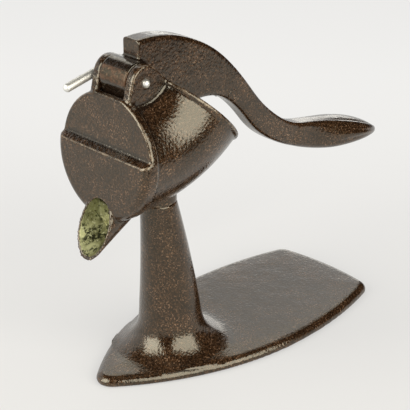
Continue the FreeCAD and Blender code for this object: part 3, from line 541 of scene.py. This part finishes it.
def edge_and_hollow_group():
    """Worn edges with a painted highlight, broken up by noise, and painted shade in the hollows."""
    tree, t, given, out = new_group("worn highlit edges and painted hollow shade", [
        (PLACE, "Place", None),
        (FLOAT, "Ridge", 0.0),
        (FLOAT, "Sunk", 0.0),
        (FLOAT, "Start", 0.35),
        (FLOAT, "Full", 0.85),
    ], [(FLOAT, "Edge"), (FLOAT, "Hollow")])
    broken = t.noise(given["Place"], WORN_HIGHLIT_EDGE_SIZE, 5.0, 0.7)
    ragged = t.maths("MULTIPLY_ADD", t.maths("SUBTRACT", broken, 0.5), WORN_HIGHLIT_EDGE_RAGGED, given["Ridge"])
    edge = t.spread(ragged, given["Start"], given["Full"])
    hollow = t.spread(given["Sunk"], *HOLLOW_SHADE_SPAN)
    t.put(out["Edge"], edge)
    t.put(out["Hollow"], hollow)
    return tree


STAIN_SIZE = 6.0
STAIN_SPAN = (0.44, 0.72)
GRAIN_DULLS = 0.14          # what the grain and the stains add to the roughness
STAIN_DULLS = 0.16


def bare_metal_group():
    """Bare metal: fine lines or grain, and stains."""
    tree, t, given, out = new_group("bare metal", [
        (PLACE, "Place", None),
        (COLOUR, "Light", None),
        (COLOUR, "Stain", None),
        (FLOAT, "Grain Size", 0.5),
        (FLOAT, "Grain Depth", 0.01),
        (FLOAT, "Smoothest", 0.25),
    ], [(COLOUR, "Colour"), (FLOAT, "Roughness"), (FLOAT, "Height")])
    place = given["Place"]
    scale = t.maths("DIVIDE", 1.0 / MM, given["Grain Size"])
    grains = t.add("ShaderNodeTexNoise", {"Vector": place, "Scale": scale, "Detail": 3.0})
    grain = grains.outputs["Fac"]
    stain = t.spread(t.noise(place, STAIN_SIZE, 5.0, 0.65), *STAIN_SPAN)
    t.put(out["Colour"], t.mix(stain, given["Light"], given["Stain"]))
    duller = t.maths("MULTIPLY_ADD", grain, GRAIN_DULLS, t.maths("MULTIPLY", stain, STAIN_DULLS))
    t.put(out["Roughness"], t.maths("ADD", given["Smoothest"], duller))
    t.put(out["Height"], t.maths("MULTIPLY", grain, given["Grain Depth"]))
    return tree


CLOUD_SIZE = 7.0
CLOUD_SPAN = (0.34, 0.62)
FLECK_SIZE = 1.3
FLECK_SPAN = (0.56, 0.68)
FLECK_HEIGHT = 0.10         # millimetres, and how deep the dark pits are
PIT_DEPTH = 0.08
BLOTCH_SIZE = 2.0
BLOTCH_SPAN = (0.545, 0.60)
AREA_SIZE = 6.5
AREA_SPAN = (0.30, 0.52)
BLOTCH_TOP = 0.101          # heights in metres between which the dark blotches set in
BLOTCH_FULL = 0.086
BLOTCH_GAIN = 0.085
PATINA_DEEP = (0.17, 0.17, 0.075)
PATINA_LIGHT = (0.42, 0.43, 0.23)
PATINA_BARE = (0.62, 0.63, 0.42)
PATINA_BLACK = (0.016, 0.018, 0.008)


def patina_group():
    """Inside of the spout: aluminium that juice has turned yellow green, with dark pits."""
    tree, t, given, out = new_group("juice patina", [(PLACE, "Place", None)],
                                    [(COLOUR, "Colour"), (FLOAT, "Roughness"), (FLOAT, "Height")])
    place = given["Place"]
    cloud = t.noise(place, CLOUD_SIZE, 5.0, 0.6)
    fleck = t.noise(place, FLECK_SIZE, 4.0, 0.7)
    colour = t.mix(t.spread(cloud, *CLOUD_SPAN), rgb(*PATINA_DEEP), rgb(*PATINA_LIGHT))
    colour = t.mix(t.spread(fleck, *FLECK_SPAN), colour, rgb(*PATINA_BARE))
    height = t.add("ShaderNodeSeparateXYZ", {"Vector": place}).outputs["Z"]
    low = t.spread(height, BLOTCH_TOP, BLOTCH_FULL)
    gain = t.maths("MULTIPLY", low, BLOTCH_GAIN)
    blotch = t.maths("ADD", t.noise(place, BLOTCH_SIZE, 5.0, 0.75), gain)
    area = t.spread(t.noise(place, AREA_SIZE, 2.0), *AREA_SPAN)
    dark = t.maths("MULTIPLY", t.spread(blotch, *BLOTCH_SPAN), area)
    colour = t.mix(dark, colour, rgb(*PATINA_BLACK))
    t.put(out["Colour"], colour)
    t.put(out["Roughness"], t.maths("MULTIPLY_ADD", fleck, 0.3, 0.35))
    t.put(out["Height"], t.maths("MULTIPLY_ADD", fleck, FLECK_HEIGHT, t.maths("MULTIPLY", dark, -PIT_DEPTH)))
    return tree


ENAMEL_GROUP = hammered_enamel_group()
EDGE_AND_HOLLOW_GROUP = edge_and_hollow_group()
METAL_GROUP = bare_metal_group()
PATINA_GROUP = patina_group()


# Materials

def object_place(t):
    return t.add("ShaderNodeTexCoord").outputs["Object"]


def new_material(name):
    material = bpy.data.materials.new(name)
    material.use_nodes = True
    t = Tree(material.node_tree)
    shader = material.node_tree.nodes["Principled BSDF"]
    return material, t, shader, object_place(t)


def use_group(t, group, values):
    node = t.add("ShaderNodeGroup")
    node.node_tree = group
    for key, value in values.items():
        t.put(node.inputs[key], value)
    return node.outputs


def mask_of(t, name):
    return t.add("ShaderNodeAttribute", attribute_name=name).outputs["Fac"]


def set_bump(t, shader, height):
    """Height in millimetres into the shader's normal."""
    bump = t.add("ShaderNodeBump", {"Strength": 1.0, "Distance": MM, "Height": height})
    t.put(shader.inputs["Normal"], bump.outputs["Normal"])
    return bump.outputs["Normal"]


ENAMEL_DARK = rgb(0.0110, 0.0055, 0.0027)
ENAMEL_BROWN = rgb(0.045, 0.0220, 0.0098)
ENAMEL_RED = rgb(0.150, 0.090, 0.055)
ENAMEL_SHINE = rgb(1.0, 0.91, 0.62)
# worn edges with a painted highlight: the colour that the ridges are mixed to
WORN_HIGHLIT_EDGE = rgb(0.235, 0.180, 0.125)
# painted reddish sheen on the knuckle's front
PAINTED_SHEEN_RED = rgb(0.075, 0.028, 0.014)
# colour of the painted glints on the sheen band
PAINTED_GLINT_LIGHT = rgb(0.30, 0.25, 0.17)
# colour of the painted shade on the knuckle and shank
PAINTED_SHADE_DARK = rgb(0.0060, 0.0040, 0.0030)
# colour of the painted shade in the hollows
HOLLOW_PAINTED_SHADE = rgb(0.006, 0.004, 0.003)
CHAMBER_LIGHT = rgb(0.42, 0.41, 0.38)
CHAMBER_STAIN = rgb(0.20, 0.19, 0.15)
MASK_SPAN = (0.35, 0.65)
# noise that breaks up the painted sheen band
SHEEN_BREAK_SIZE = 2.2
SHEEN_BREAK_SPAN = (0.36, 0.60)
# noise for the painted glints on the sheen band
PAINTED_GLINT_SIZE = 1.1
PAINTED_GLINT_SPAN = (0.60, 0.70)
COAT = 0.8                  # weight of the gloss on whole enamel
COAT_ROUGHNESS = 0.09
GLASS_IOR = 1.5
BARE_ROUGHNESS = 0.5
BARE_METALLIC = 0.55
# share of the painted shade on the knuckle and shank
PAINTED_SHADE_SHARE = 0.8
# share of the painted sheen band
SHEEN_SHARE = 0.75
# share of the painted glints
PAINTED_GLINT_SHARE = 0.35
SHEEN_BAND_DULLS = 0.22            # what the painted sheen band adds to the roughness, and takes off the gloss
SHEEN_BAND_COAT_LOSS = 0.6
# share of the painted shade in the hollows
HOLLOW_SHARE = 0.75


def enamel_material(name, peel, edges):
    """Hammered enamel with worn edges that carry a painted highlight, and painted shade in the hollows.
    Gives what a piece's own marks are added to.

    peel is the peel's size and depth and the swell's depth, edges is the ridge at which the worn edges and
    their painted highlight start and are full, and its share.
    """
    material, t, shader, place = new_material(name)
    peel_size, peel_depth, swell_depth = peel
    edge_start, edge_full, edge_share = edges
    enamel = use_group(t, ENAMEL_GROUP, {"Place": place, "Peel Size": peel_size,
                                         "Peel Depth": peel_depth,
                                         "Swell Depth": swell_depth, "Dark": ENAMEL_DARK,
                                         "Brown": ENAMEL_BROWN, "Red": ENAMEL_RED})
    edge_and_hollow = use_group(t, EDGE_AND_HOLLOW_GROUP, {"Place": place, "Ridge": mask_of(t, "ridge"),
                                     "Sunk": mask_of(t, "hollow"), "Start": edge_start,
                                     "Full": edge_full})
    # painted shade: the wide hollows are darkened
    colour = t.mix(t.maths("MULTIPLY", edge_and_hollow["Hollow"], HOLLOW_SHARE), enamel["Colour"], HOLLOW_PAINTED_SHADE)
    # worn edges with a painted highlight on the ridges
    colour = t.mix(t.maths("MULTIPLY", edge_and_hollow["Edge"], edge_share), colour, WORN_HIGHLIT_EDGE)
    shader.inputs["Coat Weight"].default_value = COAT
    shader.inputs["Coat Roughness"].default_value = COAT_ROUGHNESS
    shader.inputs["Coat IOR"].default_value = GLASS_IOR
    shader.inputs["IOR"].default_value = GLASS_IOR
    shader.inputs["Specular Tint"].default_value = ENAMEL_SHINE
    return material, t, shader, colour, enamel["Roughness"], enamel["Height"]


def finish_enamel(t, shader, colour, roughness, height):
    t.put(shader.inputs["Base Color"], colour)
    t.put(shader.inputs["Roughness"], roughness)
    t.put(shader.inputs["Coat Normal"], set_bump(t, shader, height))


def base_enamel():
    material, t, shader, colour, roughness, height = enamel_material(
        "enamel on the base", peel=(1.6, 0.105, 0.34), edges=(0.9, 1.5, 0.25))
    finish_enamel(t, shader, colour, roughness, height)
    return material


def cup_enamel():
    """Enamel outside, bare metal in the barrel and green patina in the spout."""
    material, t, shader, colour, roughness, height = enamel_material(
        "enamel on the cup", peel=(1.6, 0.105, 0.15), edges=(0.88, 1.30, 0.75))
    place = object_place(t)
    patina = use_group(t, PATINA_GROUP, {"Place": place})
    metal = use_group(t, METAL_GROUP, {"Place": place, "Light": CHAMBER_LIGHT,
                                       "Stain": CHAMBER_STAIN, "Grain Size": 0.8,
                                       "Grain Depth": 0.04, "Smoothest": 0.38})
    bare = t.spread(mask_of(t, "bare"), *MASK_SPAN)
    chamber = t.spread(mask_of(t, "chamber"), *MASK_SPAN)
    colour = t.mix(chamber, colour, metal["Colour"])
    colour = t.mix(bare, colour, patina["Colour"])
    uncoated = t.maths("MAXIMUM", bare, chamber)
    duller = t.maths("SUBTRACT", BARE_ROUGHNESS, roughness)
    roughness = t.maths("MULTIPLY_ADD", duller, uncoated, roughness)
    t.put(shader.inputs["Coat Weight"], t.maths("MULTIPLY_ADD", uncoated, -COAT, COAT))
    t.put(shader.inputs["Metallic"], t.maths("MULTIPLY", uncoated, BARE_METALLIC))
    height = t.maths("MULTIPLY", height, t.maths("SUBTRACT", 1.0, uncoated))
    height = t.maths("MULTIPLY_ADD", patina["Height"], bare, height)
    height = t.maths("MULTIPLY_ADD", metal["Height"], chamber, height)
    finish_enamel(t, shader, colour, roughness, height)
    return material


def lever_enamel():
    """Enamel with painted shade on the knuckle and shank, and a painted reddish sheen band with painted
    glints across the knuckle.
    """
    material, t, shader, colour, roughness, height = enamel_material(
        "enamel on the lever", peel=(1.7, 0.075, 0.18), edges=(0.9, 1.5, 0.30))
    place = object_place(t)
    sheen_band = mask_of(t, "sheen_band")
    broken = t.noise(place, SHEEN_BREAK_SIZE, 4.0, 0.7)
    # painted shade darkens the knuckle and the shank between the ears
    colour = t.mix(t.maths("MULTIPLY", mask_of(t, "painted_shade"), PAINTED_SHADE_SHARE), colour, PAINTED_SHADE_DARK)
    share = t.maths("MULTIPLY", sheen_band, t.spread(broken, *SHEEN_BREAK_SPAN))
    # painted sheen: a reddish band across the knuckle's front
    colour = t.mix(t.maths("MULTIPLY", share, SHEEN_SHARE), colour, PAINTED_SHEEN_RED)
    # painted glints: light specks on the sheen band
    glint = t.spread(t.noise(place, PAINTED_GLINT_SIZE, 3.0, 0.7), *PAINTED_GLINT_SPAN)
    light = t.maths("MULTIPLY", sheen_band, glint)
    colour = t.mix(t.maths("MULTIPLY", light, PAINTED_GLINT_SHARE), colour, PAINTED_GLINT_LIGHT)
    roughness = t.maths("MULTIPLY_ADD", sheen_band, SHEEN_BAND_DULLS, roughness)
    t.put(shader.inputs["Coat Weight"], t.maths("MULTIPLY_ADD", sheen_band, -SHEEN_BAND_COAT_LOSS, COAT))
    finish_enamel(t, shader, colour, roughness, height)
    return material


def metal_material(name, light, stain, grain, smoothest, stretch=(1.0, 1.0, 1.0)):
    """Bare metal. grain is its size and depth, and stretch draws it out along one axis."""
    grain_size, grain_depth = grain
    material, t, shader, place = new_material(name)
    mapping = t.add("ShaderNodeMapping", {"Vector": place, "Scale": stretch})
    metal = use_group(t, METAL_GROUP, {"Place": mapping.outputs[0], "Light": light, "Stain": stain,
                                       "Grain Size": grain_size, "Grain Depth": grain_depth,
                                       "Smoothest": smoothest})
    t.put(shader.inputs["Base Color"], metal["Colour"])
    t.put(shader.inputs["Roughness"], metal["Roughness"])
    shader.inputs["Metallic"].default_value = 1.0
    set_bump(t, shader, metal["Height"])
    return material


DUST_SHARE = 0.35
DUST_DULLS = 0.15


def rubber_material():
    material, t, shader, place = new_material("black rubber")
    grain = t.noise(place, 0.35, 2.0)
    dust = t.spread(t.noise(place, 9.0, 5.0, 0.7), 0.5, 0.8)
    colour = t.mix(t.maths("MULTIPLY", dust, DUST_SHARE), rgb(0.014, 0.014, 0.014), rgb(0.07, 0.065, 0.06))
    t.put(shader.inputs["Base Color"], colour)
    t.put(shader.inputs["Roughness"], t.maths("MULTIPLY_ADD", dust, DUST_DULLS, 0.62))
    set_bump(t, shader, t.maths("MULTIPLY", grain, 0.03))
    return material


def paint(piece, material):
    piece.data.materials.clear()
    piece.data.materials.append(material)


def repaint(node, material):
    """A CAD node keeps its mesh and gets a finished material."""
    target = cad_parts[node]
    if not target.data.materials:
        target.data.materials.append(material)
    for slot in target.material_slots:
        slot.material = material


rod_steel = metal_material("drawn steel rod", rgb(0.90, 0.90, 0.87), rgb(0.74, 0.73, 0.69),
                           grain=(0.35, 0.006), smoothest=0.42, stretch=(1.0, 0.12, 1.0))
sheet_steel = metal_material("brushed steel sheet", rgb(0.62, 0.62, 0.60), rgb(0.44, 0.42, 0.37),
                             grain=(0.25, 0.004), smoothest=0.24, stretch=(1.0, 1.0, 0.08))
screw_steel = metal_material("plated screw steel", rgb(0.58, 0.57, 0.53), rgb(0.33, 0.31, 0.27),
                             grain=(0.6, 0.008), smoothest=0.28)
cast_metal = metal_material("cast aluminium", rgb(0.52, 0.52, 0.50), rgb(0.29, 0.28, 0.24),
                            grain=(0.7, 0.05), smoothest=0.36)

paint(base, base_enamel())
paint(cup, cup_enamel())
lever_finish = lever_enamel()
paint(lever, lever_finish)
paint(presser, cast_metal)
paint(pin, rod_steel)
repaint("strainer_plate", sheet_steel)
for node in ("strainer_screws", "presser_screws", "column_bolt", "column_washer",
             "column_lock_washer", "locating_pin"):
    repaint(node, screw_steel)
repaint("sole", rubber_material())


# Ejector marks on the lever's flanks, faint round ridges left by the mould

EJECTOR_RADIUS = 3.3
EJECTOR_SIDES = 48
EJECTOR_WIRE = 0.22
EJECTOR_WIRE_SIDES = 10
EJECTOR_SINK = 0.06
EJECTOR_PLACES = [(46.0, 146.6), (90.2, 112.2)]


def ejector_tree():
    """Rings set round given points, their axes along Y."""
    tree = bpy.data.node_groups.new("ejector rings", "GeometryNodeTree")
    tree.interface.new_socket("Geometry", in_out="INPUT", socket_type="NodeSocketGeometry")
    for label, default in (("Ring Radius", 1.0), ("Wire Radius", 0.1)):
        socket = tree.interface.new_socket(label, in_out="INPUT", socket_type=FLOAT)
        socket.default_value = default
    tree.interface.new_socket("Finish", in_out="INPUT", socket_type="NodeSocketMaterial")
    tree.interface.new_socket("Geometry", in_out="OUTPUT", socket_type="NodeSocketGeometry")
    t = Tree(tree)
    given = t.add("NodeGroupInput").outputs
    circle = t.add("GeometryNodeCurvePrimitiveCircle", {"Resolution": EJECTOR_SIDES,
                                                        "Radius": given["Ring Radius"]})
    profile = t.add("GeometryNodeCurvePrimitiveCircle", {"Resolution": EJECTOR_WIRE_SIDES,
                                                         "Radius": given["Wire Radius"]})
    ring = t.add("GeometryNodeCurveToMesh", {"Curve": circle.outputs["Curve"],
                                             "Profile Curve": profile.outputs["Curve"]})
    upright = t.add("GeometryNodeTransform", {"Geometry": ring.outputs["Mesh"],
                                              "Rotation": (math.pi / 2, 0.0, 0.0)})
    placed = t.add("GeometryNodeInstanceOnPoints", {"Points": given["Geometry"],
                                                    "Instance": upright.outputs["Geometry"]})
    real = t.add("GeometryNodeRealizeInstances", {"Geometry": placed.outputs["Instances"]})
    smooth = t.add("GeometryNodeSetShadeSmooth", {"Geometry": real.outputs["Geometry"]})
    finished = t.add("GeometryNodeSetMaterial", {"Geometry": smooth.outputs[0],
                                                 "Material": given["Finish"]})
    result = t.add("NodeGroupOutput")
    t.put(result.inputs["Geometry"], finished.outputs["Geometry"])
    return tree


def set_input(modifier, label, value):
    """A modifier's input by its socket's name in the tree."""
    for item in modifier.node_group.interface.items_tree:
        if item.item_type == "SOCKET" and item.in_out == "INPUT" and item.name == label:
            modifier[item.identifier] = value


def ejector_marks():
    mesh = bpy.data.meshes.new("ejector_marks")
    side_y = FLANK_Y - EJECTOR_SINK
    places = [vector((x, side * side_y, z)) for side in (-1, 1) for x, z in EJECTOR_PLACES]
    mesh.from_pydata(places, [], [])
    piece = link("ejector_marks", mesh)
    rings = piece.modifiers.new("rings", "NODES")
    rings.node_group = ejector_tree()
    set_input(rings, "Ring Radius", EJECTOR_RADIUS * MM)
    set_input(rings, "Wire Radius", EJECTOR_WIRE * MM)
    set_input(rings, "Finish", lever_finish)
    piece.data = baked_mesh(piece)
    return piece


marks = ejector_marks()


# What each piece rides on and stands for

def join_frame(piece, body, node=None):
    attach(piece, body)
    if node:
        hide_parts(node)


join_frame(base, "frame", "base_casting")
join_frame(cup, "frame", "cup_casting")
join_frame(lever, "lever", "lever_casting")
join_frame(marks, "lever")
join_frame(presser, "lever", "presser")
join_frame(pin, "pin", "hinge_pin")


# Floor, backdrop and studio

PAPER = 0.80
PAPER_GLOW = 0.60           # share of the floor's own white that the camera and reflections see
PAPER_IN_GLOSS = 0.50       # strength of that white in reflections, which the softboxes outshine
PAPER_NEAR = 0.68           # the paper's glow near the object and far behind it, a painted falloff of the light
PAPER_FAR = 0.965
PAPER_NEAR_AT = -0.10       # metres from the object, along the view
PAPER_FAR_AT = 0.50
FLOOR_HALF = 6.0
# dark colour of the sheets of painted shade that only reflections see
ROOM_DARK = 0.012
ROOM_FILL = 0.35
ROOM_HALF = 1.7             # metres from the object to the dark sheets of painted shade
CEILING_Z = 1.6
FLOOR_SHADE_Z = 0.002             # metres that the floor's dark sheet of painted shade lies above it
CURTAIN_LOW = -0.01
CURTAIN_HIGH = 2.4
CURTAIN_STEPS = 24


def seen_directly(t):
    """1 for what the camera, a reflection or glass looks at, 0 for light that falls on surfaces."""
    path = t.add("ShaderNodeLightPath").outputs
    seen = t.maths("MAXIMUM", path["Is Camera Ray"], path["Is Glossy Ray"])
    return t.maths("MAXIMUM", seen, path["Is Transmission Ray"])


def floor_material():
    material = bpy.data.materials.new("pale paper")
    material.use_nodes = True
    nodes = material.node_tree.nodes
    nodes.clear()
    t = Tree(material.node_tree)
    paper = t.add("ShaderNodeBsdfDiffuse", {"Color": grey(PAPER)})
    view = (math.sqrt(0.5), math.sqrt(0.5), 0.0)
    along = t.add("ShaderNodeVectorMath", {0: object_place(t), 1: view},
                  operation="DOT_PRODUCT").outputs["Value"]
    # painted light falloff: the floor's glow is dimmer near the object and brighter far behind it
    far = t.spread(along, PAPER_NEAR_AT, PAPER_FAR_AT)
    shade = t.mix(far, grey(PAPER_NEAR), grey(PAPER_FAR))
    white = t.add("ShaderNodeEmission", {"Color": shade})
    share = t.maths("MULTIPLY", seen_directly(t), PAPER_GLOW)
    path = t.add("ShaderNodeLightPath").outputs
    strength = t.maths("MULTIPLY_ADD", path["Is Glossy Ray"], PAPER_IN_GLOSS - 1.0, 1.0)
    t.put(white.inputs["Strength"], strength)
    both = t.add("ShaderNodeMixShader", {0: share, 1: paper.outputs[0], 2: white.outputs[0]})
    t.add("ShaderNodeOutputMaterial", {"Surface": both.outputs[0]})
    return material


# material of the sheets of painted shade that only reflections see
def dark_material():
    material = bpy.data.materials.new("painted shade for reflections")
    material.use_nodes = True
    shader = material.node_tree.nodes["Principled BSDF"]
    shader.inputs["Base Color"].default_value = grey(ROOM_DARK)
    shader.inputs["Roughness"].default_value = 1.0
    shader.inputs["Specular IOR Level"].default_value = 0.0
    return material


def sheet_object(name, corners, faces, material):
    mesh = bpy.data.meshes.new(name)
    mesh.from_pydata([Vector(c) for c in corners], [], faces)
    mesh.materials.append(material)
    piece = link(name, mesh)
    return piece


def make_floor():
    half = FLOOR_HALF
    corners = [(-half, -half, 0), (half, -half, 0), (half, half, 0), (-half, half, 0)]
    sheet_object("floor", corners, [(0, 1, 2, 3)], floor_material())


def hide_from_camera(piece):
    """Only reflections see it: painted shade that stands for the unlit room and the unlit far floor."""
    piece.visible_camera = False
    piece.visible_diffuse = False
    piece.visible_shadow = False
    piece.visible_transmission = False


def shade_wall_for_reflections(from_azimuth, to_azimuth, material):
    """Dark wall of painted shade that only reflections see, part of a cylinder round the object, by azimuth
    from +X towards +Y in degrees.
    """
    corners = []
    for i in range(CURTAIN_STEPS + 1):
        angle = math.radians(from_azimuth + (to_azimuth - from_azimuth) * i / CURTAIN_STEPS)
        for z in (CURTAIN_LOW, CURTAIN_HIGH):
            corners.append((ROOM_HALF * math.cos(angle), ROOM_HALF * math.sin(angle), z))
    faces = [(2 * i, 2 * i + 2, 2 * i + 3, 2 * i + 1) for i in range(CURTAIN_STEPS)]
    hide_from_camera(sheet_object("room_shade_wall", corners, faces, material))


def dark_sheet(name, corners, material):
    hide_from_camera(sheet_object(name, corners, [(0, 1, 2, 3)], material))


def area_lamp(name, azimuth, elevation, distance, width, height, radiance):
    """Softbox that faces the object, by azimuth from +X towards +Y in degrees."""
    lamp = bpy.data.lights.new(name, "AREA")
    lamp.shape = "RECTANGLE"
    lamp.size = width
    lamp.size_y = height
    lamp.energy = radiance * AREA_FACTOR * width * height
    lamp.color = LAMP_COLOUR
    holder = bpy.data.objects.new(name, lamp)
    bpy.context.scene.collection.objects.link(holder)
    a = math.radians(azimuth)
    e = math.radians(elevation)
    direction = Vector((math.cos(a) * math.cos(e), math.sin(a) * math.cos(e), math.sin(e)))
    holder.location = OBJECT_MIDDLE + direction * distance
    holder.rotation_euler = direction.to_track_quat("Z", "Y").to_euler()


AREA_FACTOR = math.pi       # watts for one square metre at radiance 1
LAMP_COLOUR = (1.0, 0.955, 0.85)
OBJECT_MIDDLE = Vector((0.03, 0.0, 0.11))

# Name, azimuth and elevation in degrees, distance, width and height in metres, and radiance
SOFTBOXES = [
    ("softbox_right", -93.0, 21.0, 1.0, 1.15, 0.88, 4.3),
    ("softbox_left", 167.0, 26.0, 1.0, 0.80, 0.86, 5.0),
    ("softbox_top", 42.0, 44.0, 1.4, 1.2, 0.6, 1.2),
    ("softbox_back", 42.0, 5.0, 1.7, 1.1, 0.26, 1.1),
]

make_floor()
# painted shade seen only in reflections: dark sheets for the unlit room round the camera, the ceiling and
# the far floor
reflection_shade = dark_material()
shade_wall_for_reflections(-172.0, 25.0, reflection_shade)
dark_sheet("ceiling", [(-ROOM_HALF, -ROOM_HALF, CEILING_Z), (-ROOM_HALF, ROOM_HALF, CEILING_Z),
                       (ROOM_HALF, ROOM_HALF, CEILING_Z), (ROOM_HALF, -ROOM_HALF, CEILING_Z)], reflection_shade)
dark_sheet("floor_shade_sheet", [(-0.7, -ROOM_HALF, FLOOR_SHADE_Z), (ROOM_HALF, -ROOM_HALF, FLOOR_SHADE_Z),
                           (ROOM_HALF, -0.40, FLOOR_SHADE_Z), (-0.2, -0.40, FLOOR_SHADE_Z)], reflection_shade)

for softbox in SOFTBOXES:
    area_lamp(*softbox)


def make_world():
    world = bpy.data.worlds.new("room")
    bpy.context.scene.world = world
    world.use_nodes = True
    nodes = world.node_tree.nodes
    nodes.clear()
    t = Tree(world.node_tree)
    seen = t.add("ShaderNodeBackground", {"Color": grey(PAPER), "Strength": 1.0})
    fill = t.add("ShaderNodeBackground", {"Color": grey(1.0), "Strength": ROOM_FILL})
    both = t.add("ShaderNodeMixShader", {0: seen_directly(t), 1: fill.outputs[0], 2: seen.outputs[0]})
    t.add("ShaderNodeOutputWorld", {"Surface": both.outputs[0]})


make_world()


def make_camera():
    data = bpy.data.cameras.new("camera")
    data.lens = LENS_MM
    data.sensor_width = SENSOR_MM
    data.clip_start = 0.01
    data.clip_end = 50.0
    camera = bpy.data.objects.new("camera", data)
    bpy.context.scene.collection.objects.link(camera)
    turn = Matrix((CAMERA_RIGHT, CAMERA_UP, CAMERA_BACK)).transposed()
    camera.matrix_world = Matrix.Translation(vector(CAMERA_PLACE)) @ turn.to_4x4()
    bpy.context.scene.camera = camera


make_camera()
bpy.context.scene.view_settings.view_transform = "Standard"
